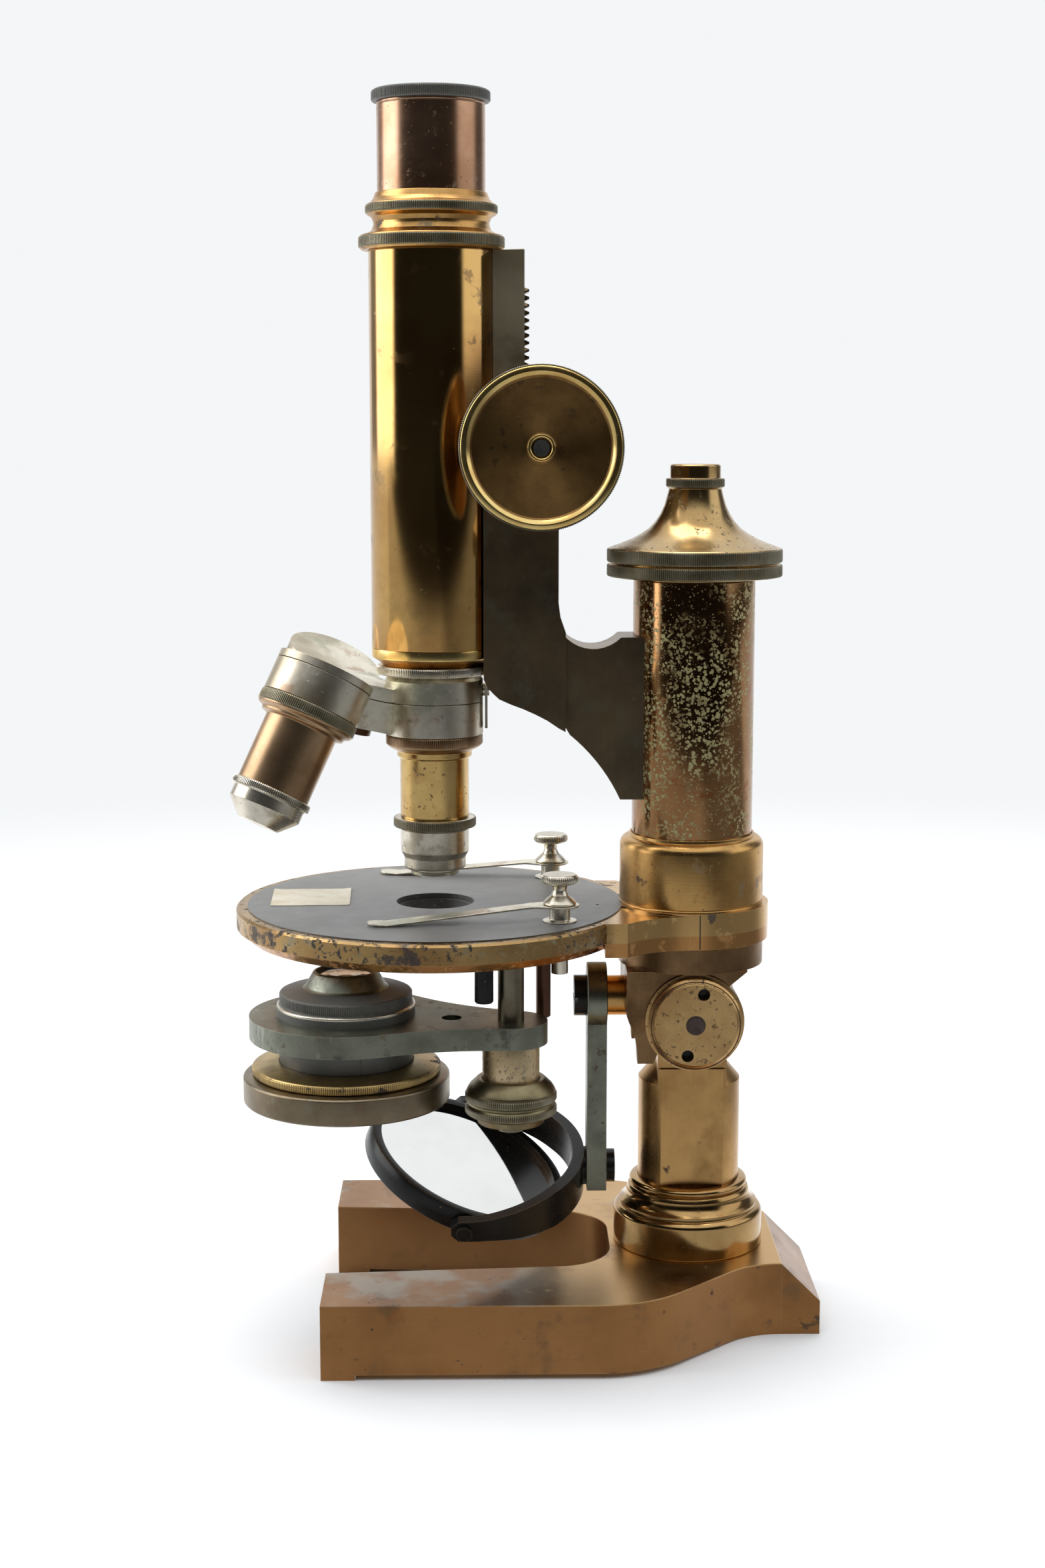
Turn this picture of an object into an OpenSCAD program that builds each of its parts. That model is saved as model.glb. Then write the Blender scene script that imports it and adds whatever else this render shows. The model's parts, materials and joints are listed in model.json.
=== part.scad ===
// Compound microscope on a horseshoe foot.  Units mm, +Z up, table at z = 0.
// The pillar and the fine-focus column share the vertical line x = 0, y = 0;
// the optical axis stands at x = -reach.  The front of the stand faces -x.

/* [Overall] */
// Distance from the pillar line to the optical axis
reach = 68.5; // [64:0.5:74]
// Smoothness of the round parts
round_steps = 72; // [48:8:120]

/* [Foot and pillar] */
// Height of the foot
foot_h = 19.8; // [14:0.2:26]
// Half width over the two arms
foot_half_w = 49.9; // [44:0.1:56]
// Half width of the heel
heel_half_w = 20.8; // [16:0.2:26]
// How far the arms reach in front of the pillar line
foot_front = 97.3; // [90:0.1:104]
// How far the heel reaches behind the pillar line
heel_back = 33.9; // [28:0.1:40]
// Depth of the relief under the foot
foot_relief = 1.4; // [0.8:0.1:2.4]
// Radius of the pillar
pillar_r = 13.7; // [12:0.1:15]
// Height of the inclination hinge
hinge_z = 84.5; // [80:0.1:88]
// Half thickness of the flattened tongue on the pillar
tongue_half = 10.1; // [8:0.1:11]

/* [Stage] */
// Height of the stage surface
stage_z = 114.1; // [108:0.1:120]
// Radius of the black stage plate
plate_r = 50; // [46:0.5:54]
// Radius of the brass stage rim
rim_r = 53; // [49:0.5:57]
// Radius of the light opening
aperture_r = 10.4; // [8:0.1:13]
// Radius of the clamp ring round the column
clamp_r = 20.65; // [20:0.05:23]

/* [Column and arm] */
// Radius of the fine-focus column
column_r = 16; // [14:0.1:17]
// Top of the column
column_top = 200; // [190:1:210]
// Half thickness of the arm web
arm_half = 8.5; // [6:0.1:10]
// Half thickness of the guide block at the tube
guide_half = 11.5; // [10:0.1:13]

/* [Coarse focus] */
// Height of the pinion
pinion_z = 234.6; // [225:0.1:245]
// Tooth size of rack and pinion
gear_module = 0.6; // [0.5:0.05:0.8]
// Radius of the two coarse knobs
knob_r = 20.5; // [17:0.1:24]
// Width of a coarse knob
knob_w = 7.5; // [5:0.1:10]
// Distance from the middle to a knob's outer face
knob_face = 35; // [30:0.5:40]

/* [Tube and eyepiece] */
// Outer radius of the body tube
tube_r = 16.3; // [15:0.1:18]
// Outer radius of the draw tube
draw_r = 13.85; // [12:0.05:14.2]
// Top of the draw tube
draw_top = 321.1; // [315:0.1:330]
// Radius of the eyepiece cap
cap_r = 15.2; // [14.5:0.1:17]

/* [Nosepiece] */
// Radius of one cup of the nosepiece
cup_r = 12.9; // [12:0.1:14]
// Angle between the optical axis and the nosepiece pivot
nose_tilt = 16.25; // [14:0.25:20]
// Height where the optical axis meets the pivot line
pivot_z = 237.3; // [230:0.1:245]
// Radius of the ball-shaped joint between cover and carrier
joint_r = 70.3; // [64:0.1:76]

/* [Substage and mirror] */
// Distance of the substage post from the optical axis, along x
post_dx = 19.8; // [16:0.1:24]
// Distance of the substage post in front of the middle
post_y = -38.1; // [-42:0.1:-34]
// Direction of the swung-out condenser seen from its post
swing_angle = 169.4; // [100:0.1:190]
// Top of the condenser arm
sub_arm_z = 91.2; // [88:0.1:94]
// Radius of the condenser ring
sub_ring_r = 24.8; // [22:0.1:28]
// Height of the lower mirror pivot
mirror_z = 40.4; // [38:0.1:46]
// Distance from the bar face to the mirror centre
fork_reach = 33; // [30:0.5:36]
// Radius of the mirror frame
mirror_r = 28.1; // [24:0.1:30]
// Angle of the fork about its screw
fork_angle = 13.9; // [0:0.1:30]
// Tilt of the mirror in its fork
mirror_tilt = 22; // [0:0.5:60]

/* [Hidden] */
$fn = round_steps;
// blend circles are this much smaller, so they cross their neighbours cleanly
graze = 0.03;
ax = -reach;
BRASS = [0.62, 0.45, 0.2];
NICKEL = [0.62, 0.62, 0.58];
BLACK = [0.06, 0.06, 0.06];
GREY = [0.24, 0.26, 0.24];
BROWN = [0.4, 0.28, 0.14];
GLASS = [0.8, 0.9, 0.9];

// tube of inner radius a and outer radius b from height z0 to z1
module tube(a, b, z0, z1) translate([0, 0, z0]) difference() {
    cylinder(r = b, h = z1 - z0);
    translate([0, 0, -1]) cylinder(r = a, h = z1 - z0 + 2);
}
module rod(r, z0, z1) translate([0, 0, z0]) cylinder(r = r, h = z1 - z0);
// turned profile given as [radius, height] pairs
module turned(p) rotate_extrude() polygon(p);
// turned profile closed on the axis
module spindle(p) turned(concat([[0, p[0][1]]], p, [[0, p[len(p) - 1][1]]]));
// flat profile in the x-z plane, thickness from y0 to y1
module slab_y(y0, y1) translate([0, y1, 0]) rotate([90, 0, 0])
    linear_extrude(y1 - y0) children();
module rod_y(r, y0, y1) translate([0, y1, 0]) rotate([90, 0, 0]) cylinder(r = r, h = y1 - y0);
module rod_x(r, x0, x1) translate([x0, 0, 0]) rotate([0, 90, 0]) cylinder(r = r, h = x1 - x0);
module at_axis() translate([ax, 0, 0]) children();
function arc(c, r, a0, a1, n = 8) =
    [for (i = [0:n]) let (a = a0 + (a1 - a0) * i / n) [c[0] + r * cos(a), c[1] + r * sin(a)]];

// ---- concave web between two circles (radius ra at 0, rb at distance d) ----
function web_x(ra, rb, rf, d) = (pow(ra + rf, 2) - pow(rb + rf, 2) + d * d) / (2 * d);
function web_y(ra, rb, rf, d) = sqrt(pow(ra + rf, 2) - pow(web_x(ra, rb, rf, d), 2));
module web2d(ra, rb, rf, d) {
    x = web_x(ra, rb, rf, d);
    y = web_y(ra, rb, rf, d);
    difference() {
        polygon([[0, 0], [x, y], [d, 0], [x, -y]]);
        for (s = [-1, 1]) translate([x, s * y]) circle(r = rf - graze, $fn = 2 * round_steps);
    }
}

// ---------------------------------------------------------------- stand
side_r = 30;
neck_r = 19.5;
side_x = -26.3;
neck_x = 23.3;
k45 = sqrt(0.5);
gap_r = 15;
gap_x = ax + 31.9;
module foot_flare() difference() {
    polygon([[side_x - 2, 0], [side_x + side_r * k45, foot_half_w - side_r * (1 - k45)],
        [neck_x - neck_r * k45, heel_half_w + neck_r * (1 - k45)],
        [neck_x, heel_half_w + neck_r], [neck_x + 0.5, 0]]);
    translate([neck_x, heel_half_w + neck_r]) circle(r = neck_r - graze);
}
module foot_side() {
    translate([-foot_front, 0, 0]) cube([foot_front + side_x, foot_half_w, foot_h]);
    intersection() {
        translate([side_x, foot_half_w - side_r, 0]) rod(side_r + graze, 0, foot_h);
        translate([side_x - 4, 0, 0]) cube([side_r + 4, foot_half_w, foot_h]);
    }
    translate([-20, -1, 0]) cube([heel_back + 20, heel_half_w + 1, foot_h]);
    linear_extrude(foot_h) foot_flare();
}
module foot_gap() {
    for (s = [-1, 1]) translate([gap_x, s * 7.3, 0]) rod(gap_r, -1, foot_h + 1);
    translate([gap_x, -7.3, -1]) cube([gap_r, 14.6, foot_h + 2]);
    translate([0, 0, -1]) linear_extrude(foot_h + 2) polygon([[gap_x, 22.3],
        [-foot_front - 1, 26.4], [-foot_front - 1, -26.4], [gap_x, -22.3]]);
}
module foot() color(BRASS) union() {
    difference() {
        union() {
            foot_side();
            mirror([0, 1, 0]) foot_side();
        }
        foot_gap();
        slab_y(-70, 70) polygon([[-foot_front + 8.8, -1], [-foot_front + 8.8, foot_relief],
            [-12, foot_relief], [17, 0], [17, -1]]);
        slab_y(-heel_half_w - 1, heel_half_w + 1)
            polygon([[heel_back - 10.6, foot_h], [heel_back + 1, foot_h - 11.6],
                [heel_back + 1, foot_h + 1], [heel_back - 10.6, foot_h + 1]]);
    }
    rod(9, 0, 4);
}
module pillar_flange() color(BRASS) turned(concat(
    [[pillar_r, foot_h], [20, foot_h], [20.2, foot_h + 0.3], [20.2, 28.4]],
    arc([18.3, 28.4], 1.9, 0, 80), [[18.5, 31.2]],
    arc([20.2, 34.6], 3.6, 245, 178, 6), [[16.2, 35.6], [15.8, 35.8]],
    arc([14.9, 36.9], 1.1, -60, 80, 6), [[pillar_r, 38.2]]));
module pillar() color(BRASS) difference() {
    union() {
        rod(pillar_r, foot_h, 65.7);
        translate([0, 0, 65.7]) cylinder(r1 = pillar_r, r2 = 9.2, h = 5.3);
        intersection() {
            rod(pillar_r, 60, 100);
            union() {
                translate([0, 0, hinge_z]) rod_y(13, -15, 15);
                translate([-9.2, -15, 60]) cube([18.4, 30, hinge_z - 60]);
            }
        }
    }
    for (s = [0, 180]) rotate([0, 0, s]) translate([-20, 0, 0]) {
        translate([0, tongue_half + 0.8, 36.5]) cube([40, 10, 40]);
        translate([0, tongue_half, 70.3]) cube([40, 10, 40]);
    }
    translate([0, 0, hinge_z]) rod_y(5, -20, 20);
}

// ---------------------------------------------------------------- limb
cheek_t = 5.2;
disc_r = 19.3;
disc_z = 98;
module cheek2d() {
    difference() {
        union() {
            translate([0, hinge_z]) circle(r = 13.2);
            polygon([[-17.9, disc_z], [-17.9, 86], [-17.3, 84.2], [-16.1, 81.8],
                [-15.5, 79.4], [-15.2, 76.9], [-15, 73.1], [-10.7, 73.1], [-9.6, 76],
                [8.6, 93.6], [10, 94.7], [13.2, 97.4], [13.9, disc_z]]);
        }
        translate([0, hinge_z]) circle(r = 5);
    }
}
module joint_bracket() color(BRASS) difference() {
    union() {
        rod(disc_r, disc_z, 104.5);
        for (y = [-tongue_half - 0.1 - cheek_t, tongue_half + 0.1])
            slab_y(y, y + cheek_t) cheek2d();
        slab_y(-tongue_half - 0.2, tongue_half + 0.2) polygon([[-17.9, disc_z + 0.1],
            [-17.9, 86], [-17.3, 84.2], [-16.1, 81.8], [-13.4, 81.8],
            [-13.4, disc_z + 0.1]]);
    }
    translate([0, 0, 88]) rod_x(5.4, -19, -11.2);
}
module hinge_bolt() color(BRASS) translate([0, 0, hinge_z]) {
    rod_y(4.95, -tongue_half - cheek_t - 0.1, tongue_half + cheek_t + 0.1);
    for (s = [0, 180]) rotate([0, 0, s])
        translate([0, -tongue_half - cheek_t - 0.1, 0]) rotate([90, 0, 0]) difference() {
            spindle([[13.1, 0], [13.1, 0.9], [12.3, 1], [12.3, 2.9], [10.9, 4.1]]);
            for (a = [76, 256]) rotate([0, 0, a]) translate([8.5, 0, 1])
                cylinder(r = 1.6, h = 5);
        }
}
clip_near = [32.5 + ax, -26];
clip_far = [31.8 + ax, 32.8];
band_z = 108.6;
rim_top = stage_z - 0.3;
clamp_top = 114.4;
facet_x = -18.6;
facet_y = 28.8;
facet_r = 21.1;
module facet2d() {
    difference() {
        polygon([[-24.4, 0], [-24.4, facet_y], [facet_x, facet_y],
            [-2, clamp_r + facet_r], [-2, 0]]);
        translate([-2, clamp_r + facet_r]) circle(r = facet_r - graze, $fn = 2 * round_steps);
    }
}
module stage_frame() color(BRASS) difference() {
    union() {
        at_axis() spindle([[48.6, 105.9], [50, 106.1], [51.8, 108.4], [51.8, band_z],
            [rim_r, band_z], [rim_r, rim_top - 0.6], [52.4, rim_top]]);
        rod(clamp_r, 104.9, clamp_top);
        translate([0, 0, 104.9]) linear_extrude(rim_top - 104.9) {
            facet2d();
            mirror([0, 1]) facet2d();
        }
    }
    rod(19.15, 100, 120);
    at_axis() {
        rod(plate_r, 111.1, 120);
        rod(14.5, 100, 120);
    }
    for (p = [clip_near, clip_far]) translate([p[0], p[1], 0]) rod(2.25, 100, 120);
    translate([ax + post_dx, post_y, 0]) rod(3.35, 100, 111);
    translate([ax + 13, -41, 0]) rod(2.4, 100, 109);
    translate([ax + 28.3, -26.5, 0]) rod(2.1, 100, 109);
}
module stage_plate() color(BLACK) difference() {
    at_axis() turned([[aperture_r, stage_z], [aperture_r, 112.6], [9.7, 112.6],
        [9.7, 109.9], [11.6, 109.9], [11.6, 107.4], [14.5, 107.4], [14.5, 111.1],
        [plate_r, 111.1], [plate_r, stage_z]]);
    for (p = [clip_near, clip_far]) translate([p[0], p[1], 0]) rod(2.25, 100, 120);
    at_axis() translate([43.2, -5.6, stage_z - 1.5]) cylinder(r = 0.5, h = 3);
    rod(19.2, 100, 120);
}
module stage_label() color([0.85, 0.82, 0.72])
    translate([ax - 33.5, 4.9, stage_z]) rotate([0, 0, 2]) translate([-10.6, -11, 0])
        cube([21.2, 22, 0.12]);
module lower_sleeve() color(BRASS) turned(concat(
    [[10, 104.5], [19.15, 104.5], [19.15, 129.2]],
    [for (i = [0:8]) let (a = 90 * i / 8) [16.6 + 2.5 * cos(a), 129.6 + 2.6 * sin(a)]],
    [[16.6, 133], [16.05, 133], [16.05, 121], [10, 121]]));
module fine_prism() color(NICKEL) difference() {
    rod(10, 104.5, 195);
    rod(3.3, 178, 196);
}
module substage_post() color(GREY) translate([ax + post_dx, post_y, 0]) rod(3.35, 62.5, 111);
module condenser_pin() color(BLACK) translate([ax + 13, -41, 0])
    spindle([[2.1, 96.4], [2.4, 96.8], [2.4, 109]]);
module arm_stop_rod() color(BROWN) translate([ax + 28.3, -26.5, 0])
    spindle([[1.6, 89], [1.9, 89.3], [1.9, 109]]);
module mirror_stub() color(BRASS) translate([0, 0, 88]) {
    rod_x(5.4, ax + 46, -13.4);
    rod_x(2.5, ax + 40.55, ax + 46);
}

// ---------------------------------------------------------------- stage clips
// one clip is drawn at its own post, blade along +x
module clip_post() color(NICKEL) spindle([[2.2, 100.4], [2.2, stage_z + 0.05],
    [4.4, stage_z + 0.05], [4.4, stage_z + 0.35], [2.7, stage_z + 0.5], [2.7, 118.6],
    [4.2, 118.6], [4.3, 119], [3.6, 119.8], [2.2, 121], [1.7, 122.2], [2, 123.4],
    [4.3, 124.2], [4.75, 124.5], [4.75, 126], [4.4, 126.4]]);
module clip_blade(len) color(NICKEL) difference() {
    intersection() {
        slab_y(-6, 6) polygon([[-6, 118], [7, 118], [len - 5, 114.2], [len, 114.6],
            [len, 115.05], [len - 5, 114.65], [7.2, 118.5], [-6, 118.5]]);
        union() {
            rod(5, 110, 122);
            translate([0, 0, 110]) linear_extrude(12) polygon(concat(
                [[2, -4.3], [6, -3], [9, -2.6], [len - 7, -3.1]],
                arc([len - 3.2, 0], 3.1, -80, 80, 10), [[len - 7, 3.1], [9, 2.6],
                [6, 3], [2, 4.3]]));
        }
    }
    rod(2.7, 110, 130);
}
module place_near() translate([clip_near[0], clip_near[1], 0]) rotate([0, 0, 185.5]) children();
module place_far() translate([clip_far[0], clip_far[1], 0]) rotate([0, 0, 173]) children();
module clip_near_post() place_near() clip_post();
module clip_near_blade() place_near() clip_blade(49.6);
module clip_far_post() place_far() clip_post();
module clip_far_blade() place_far() clip_blade(48.6);

// ---------------------------------------------------------------- column and arm
module column_sleeve() color(BRASS) turned([[10.05, 124], [16, 124], [16, column_top],
    [3, column_top], [3, 197], [10.05, 197]]);
rack_top = 275.5;
rack_x = ax + 24.5;
pin_x = ax + 27.5;
arm_arc = [ax + 4.92, 122.6];
module arm_web2d() polygon(concat([[ax + 26, 172], [ax + 26, 181], [ax + 33.6, 186.5]],
    arc([ax + 41.7, 192.6], 10.1, 219, 315, 10), [[-19.1, 185.5], [-10, 185.5],
    [-10, 142.8], [-19.6, 142.8]], arc(arm_arc, 48.34, 24.7, 50.6, 9),
    [[ax + 33.2, 164]]));
module guide2d() polygon(concat([[ax + 13.1, 246], [ax + 32.5, 246], [ax + 32.5, 194.7],
    [ax + 33, 191], [ax + 34.4, 187], [ax + 34.4, 161.1], [ax + 32.7, 162],
    [ax + 29.6, 164.1], [ax + 26.5, 165.7], [ax + 23.4, 167.1], [ax + 20.2, 168.3],
    [ax + 17.1, 169.7], [ax + 15.6, 171.1], [ax + 14.2, 172.6], [ax + 13.1, 174.8]]));
module arm() color(BROWN) difference() {
    union() {
        slab_y(-arm_half, arm_half) arm_web2d();
        slab_y(-guide_half, guide_half) guide2d();
    }
    rod(column_r, 100, 220);
    at_axis() rod(tube_r + 0.35, 150, 260);
    slide_shape(0.05, 150, 260);
    translate([ax + 20, -3.3, 150]) cube([6, 6.6, 110]);
    translate([pin_x, 0, pinion_z]) {
        rod_y(4.2, -3.5, 3.5);
        rod_y(2.05, -20, 20);
    }
}
module slide_shape(c, z0, z1) translate([ax, 0, z0]) linear_extrude(z1 - z0)
    polygon([[12, -5 - c], [17, -5 - c], [23.75 + c, -7.6 - c], [23.75 + c, 7.6 + c],
        [17, 5 + c], [12, 5 + c]]);
module housing() translate([0, -guide_half, 0]) rotate([90, 0, 0])
    turned([[2.05, 0], [10.5, 0], [10.5, 1.2], [8, 2.2], [8, 12], [2.05, 12]]);
module pinion_housing_near() color(BRASS) translate([pin_x, 0, pinion_z]) housing();
module pinion_housing_far() color(BRASS) translate([pin_x, 0, pinion_z])
    rotate([0, 0, 180]) housing();
module fine_head() color(BRASS) spindle([[2.95, 183], [2.95, column_top + 0.1],
    [16, column_top + 0.1], [16, 200.8], [22.5, 200.8], [23, 201.3], [23, 203.7],
    [22.5, 204.2], [22, 204.35], [22.5, 204.5], [23, 205], [23, 207.8], [22.6, 208.3],
    [19.1, 209.5], [14.1, 211.9], [10.5, 215], [8.1, 219.3], [6.9, 223.7],
    [7.65, 224.1], [7.65, 226.3], [6.6, 226.3], [6.6, 229.6], [6.2, 230]]);

// ---------------------------------------------------------------- coarse focus
pitch = PI * gear_module;
pinion_teeth = 10;
pinion_pr = gear_module * pinion_teeth / 2;
module pinion_shaft() color(NICKEL) translate([pin_x, 0, pinion_z]) {
    rod_y(2, -knob_face + 0.8, knob_face - 0.8);
    slab_y(-2.9, 2.9) for (i = [0:pinion_teeth - 1]) rotate(18 + 36 * i)
        polygon([[1.5, -0.55], [pinion_pr - 0.6, -0.5], [pinion_pr + 0.42, -0.16],
            [pinion_pr + 0.42, 0.16], [pinion_pr - 0.6, 0.5], [1.5, 0.55]]);
}
module knob() rotate([90, 0, 0]) turned([[2, 0], [9, 0], [9.4, 0.6], [19.6, 1],
    [knob_r, 1.8], [knob_r, knob_w - 0.9], [19.9, knob_w - 0.2], [18.7, knob_w],
    [17.6, knob_w - 0.9], [17.2, knob_w - 1.3], [3.4, knob_w - 1.1], [3.4, knob_w - 0.5],
    [2, knob_w - 0.5]]);
module coarse_knob_near() color(BRASS)
    translate([pin_x, knob_w - knob_face, pinion_z]) knob();
module coarse_knob_far() color(BRASS)
    translate([pin_x, knob_face - knob_w, pinion_z]) rotate([0, 0, 180]) knob();
module rack() color(BROWN) slab_y(-3, 3) polygon(concat(
    [[ax + 23.75, rack_top], [ax + 23.75, 188.4]],
    [for (i = [-24:21]) let (z = pinion_z + (i - 0.5) * pitch)
        each [[rack_x - 0.65, z + pitch / 2 - 0.72], [rack_x + 0.55, z + pitch / 2 - 0.24],
            [rack_x + 0.55, z + pitch / 2 + 0.24], [rack_x - 0.65, z + pitch / 2 + 0.72]]],
    [[rack_x - 0.65, rack_top]]));

// ---------------------------------------------------------------- tube
module main_tube() color(BRASS) at_axis() difference() {
    rod(tube_r, 182.4, 284.3);
    rod(14.3, 182, 285);
}
module tube_head() color(BRASS) at_axis() turned([[13.9, 284.3], [18, 284.3],
    [18.8, 285], [18.8, 287.6], [18.2, 288.1], [16.9, 288.3], [15.4, 289.2],
    [14.9, 290.6], [14.9, 291.3], [15.4, 292.5], [16.8, 293.3], [17, 293.8], [17, 295.3],
    [16.6, 295.8], [15.8, 296.1], [14.9, 297.2], [14.35, 298.7], [13.9, 298.7]]);
module tube_ring() color(BRASS) at_axis() turned([[11, 177.8], [13.4, 177.8],
    [14.4, 178.8], [15.6, 179.6], [16.25, 180], [16.25, 182.4], [11, 182.4]]);
module union_ring() color(NICKEL) at_axis() turned([[11, 175.4], [14.8, 175.4],
    [15.1, 175.7], [15.1, 177.5], [14.8, 177.8], [11, 177.8]]);
module tube_slide() color(GREY) difference() {
    slide_shape(0, 186, 284.3);
    at_axis() rod(tube_r, 180, 290);
}

// ---------------------------------------------------------------- nosepiece
function lobe_turn(i) = [0, 120, -120][i];
lobe_d = joint_r * sin(nose_tilt);
pivot_v = [-sin(nose_tilt), 0, -cos(nose_tilt)];
// children drawn on the optical axis, carried to cup i about the pivot line
module cup_place(i) translate([ax, 0, pivot_z]) rotate(a = lobe_turn(i), v = pivot_v)
    translate([0, 0, -pivot_z]) children();
// children drawn about +z from the pivot point, laid along the pivot line
module on_pivot() translate([ax, 0, pivot_z]) rotate([0, nose_tilt, 0]) children();
module ball(r) translate([ax, 0, pivot_z]) sphere(r = r, $fn = 3 * round_steps);
waist_r = 8;
module trilobe2d(r) difference() {
    polygon([for (i = [0:2]) (lobe_d + 2) * [-cos(120 * i), sin(120 * i)]] * 1);
    for (i = [0:2]) rotate(120 * i) translate([lobe_d * 0.5 + sqrt(pow(r + waist_r, 2)
        - 3 * pow(lobe_d / 2, 2)), 0]) circle(r = waist_r);
}
module nosepiece_cover() color(NICKEL) intersection() {
    union() {
        at_axis() spindle([[cup_r, 160], [cup_r, 173.9], [12, 175], [11.4, 175.4]]);
        for (i = [1, 2]) cup_place(i) rod(cup_r, 160, pivot_z - 67);
        on_pivot() translate([0, 0, -80]) linear_extrude(14.2) mirror([1, 0]) trilobe2d(cup_r);
    }
    ball(joint_r - 0.1);
}
module nosepiece_carrier() color(NICKEL) difference() {
    union() {
        for (i = [0:2]) cup_place(i) rod(cup_r, 159.5, 170);
        on_pivot() translate([0, 0, -77.6]) linear_extrude(12) mirror([1, 0]) trilobe2d(cup_r);
    }
    ball(joint_r + 0.1);
    for (i = [0:2]) cup_place(i) rod(10.1, 150, 175);
    on_pivot() rod(2.6, -90, -60);
}
module nosepiece_bolt() color([0.35, 0.14, 0.1]) on_pivot() {
    rod(5.6, -80.2, -77.6);
    rod(2.6, -77.7, -joint_r - 0.5);
}
module detent_spring() color(NICKEL) {
    translate([ax + 13.4, -2.6, 161]) cube([0.7, 5.2, 11.4]);
    translate([ax + 12.895, 0, 171]) rod_x(1.7, 0, 1.7);
}

// ---------------------------------------------------------------- objectives
module objective_a_barrel() color(BRASS) at_axis() turned([[7.6, 166.2], [7.6, 137.2],
    [9.1, 137.2], [9.1, 153.2], [9.9, 153.5], [9.9, 155], [11.6, 155.9], [12.6, 156.4],
    [12.8, 156.8], [12.8, 159.2], [12.5, 159.5], [10.1, 159.5], [10.1, 165.6], [9.7, 166.2]]);
module objective_a_front() color(NICKEL) at_axis() spindle([[5, 121.8], [6.4, 121.8],
    [6.4, 122.9], [7.9, 123.4], [8.2, 123.9], [8.2, 126.5], [9.1, 128], [9.1, 134],
    [9.6, 134.4], [10.7, 134.7], [10.97, 135.3], [10.97, 137], [10.6, 137.2],
    [7.6, 137.2], [7.6, 150], [5, 150]]);
module objective_b_barrel() color(BRASS) cup_place(1) turned([[7.6, 166.2],
    [7.6, 136.1], [9.6, 136.1], [9.6, 153.9], [11.2, 154.4], [11.4, 155.2], [12.9, 155.9],
    [13.2, 156.5], [13.2, 159.2], [12.9, 159.5], [10.1, 159.5], [10.1, 165.6], [9.7, 166.2]]);
module objective_b_front() color(NICKEL) cup_place(1) spindle([[5.3, 126.6],
    [5.5, 126.7], [9.6, 130.9], [9.6, 134], [10.3, 134.1], [10.6, 134.6], [10.6, 135.7],
    [10.3, 136.1], [7.6, 136.1], [7.6, 148], [4.6, 148]]);
module objective_c() color(BRASS) cup_place(2) spindle([[6, 139.9], [7.6, 140.2],
    [8.9, 140.9], [8.9, 142.2], [8.5, 142.5], [8.9, 142.8], [8.9, 144.3], [8.5, 144.6],
    [8.9, 145], [8.9, 146.3], [8.2, 146.7], [8.2, 153.9], [11.2, 154.6], [12.6, 155.9],
    [12.9, 156.5], [12.9, 159.2], [12.6, 159.5], [10.1, 159.5], [10.1, 166]]);

// ---------------------------------------------------------------- draw tube, eyepiece
module draw_tube() color(BRASS) at_axis() tube(12.9, draw_r, 230, draw_top);
module eyepiece() color(BLACK) at_axis() turned([[11.2, 276], [12.6, 276],
    [12.85, 276.3], [12.85, draw_top + 0.1], [14.9, draw_top + 0.1], [cap_r, 321.4],
    [cap_r, 323.8], [14.8, 324.2], [10.6, 324.2], [8.2, 323], [6.2, 322.6], [6.2, 321.2],
    [11.2, 321.2]]);
module lens_body(r, z, t, s) turned(concat(
    [for (i = [0:8]) [r * i / 8, z - t / 2 - s * (1 - pow(i / 8, 2))]],
    [for (i = [8:-1:0]) [r * i / 8, z + t / 2 + s * (1 - pow(i / 8, 2))]]));
module eye_lens() color(GLASS) at_axis() lens_body(11.2, 317, 1.4, 1.6);
module field_lens() color(GLASS) at_axis() lens_body(11.2, 279, 1.4, 1.8);

// ---------------------------------------------------------------- substage
post_x = ax + post_dx;
sub_d = norm([post_dx, post_y]);
// children drawn about the post, condenser along +x at distance sub_d
module at_post() translate([post_x, post_y, 0]) rotate([0, 0, swing_angle]) children();
module at_condenser() at_post() translate([sub_d, 0, 0]) children();
arm_t = 5.7;
sub_low = sub_arm_z - arm_t;
module substage_sleeve() color(BRASS) at_post() tube(3.4, 7.3, 73.6, sub_low);
module substage_nut() color(BROWN) at_post() difference() {
    turned([[3.4, 63.8], [4.8, 63.8], [5, 64.4], [8.4, 64.6], [9, 66.4], [11, 67],
        [11.7, 67.4], [11.7, 69], [10.9, 69.7], [10.9, 70.2], [11.7, 70.8], [11.7, 72],
        [11.3, 73.4], [9.6, 75.4], [8.6, 76.3], [7.4, 76.3], [7.4, 73.5], [3.4, 73.5]]);
}
module substage_arm() color(GREY) at_post() difference() {
    union() {
        rod(9.35, sub_low, sub_arm_z);
        translate([sub_d, 0, 0]) rod(sub_ring_r, sub_low, sub_arm_z);
        translate([sub_d, 0, sub_low]) linear_extrude(arm_t)
            mirror([1, 0]) web2d(sub_ring_r, 9.35, 60, sub_d);
    }
    rod(3.4, 80, 95);
    translate([sub_d, 0, 0]) rod(17.7, 80, 95);
    translate([15.2, 0.5, 80]) cylinder(r = 2.6, h = 20);
}
module condenser_body() color(BLACK) at_condenser() turned([[13, 75.9], [17.2, 75.9],
    [17.2, sub_low - 1], [17.7, sub_low - 0.6], [17.7, 93.9], [17.2, 94.1], [17, 94.8],
    [17, 96.6], [16.6, 97.2], [11, 98.1], [10.3, 98.7], [8.3, 102.2], [7.6, 102.5],
    [7.4, 101.4], [9, 95], [10.5, 78]]);
module condenser_lens() color(GLASS) at_condenser() turned([[0, 99], [7.95, 99],
    [7.35, 101.3], [5, 101.9], [2.5, 102.2], [0, 102.3]]);
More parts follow.
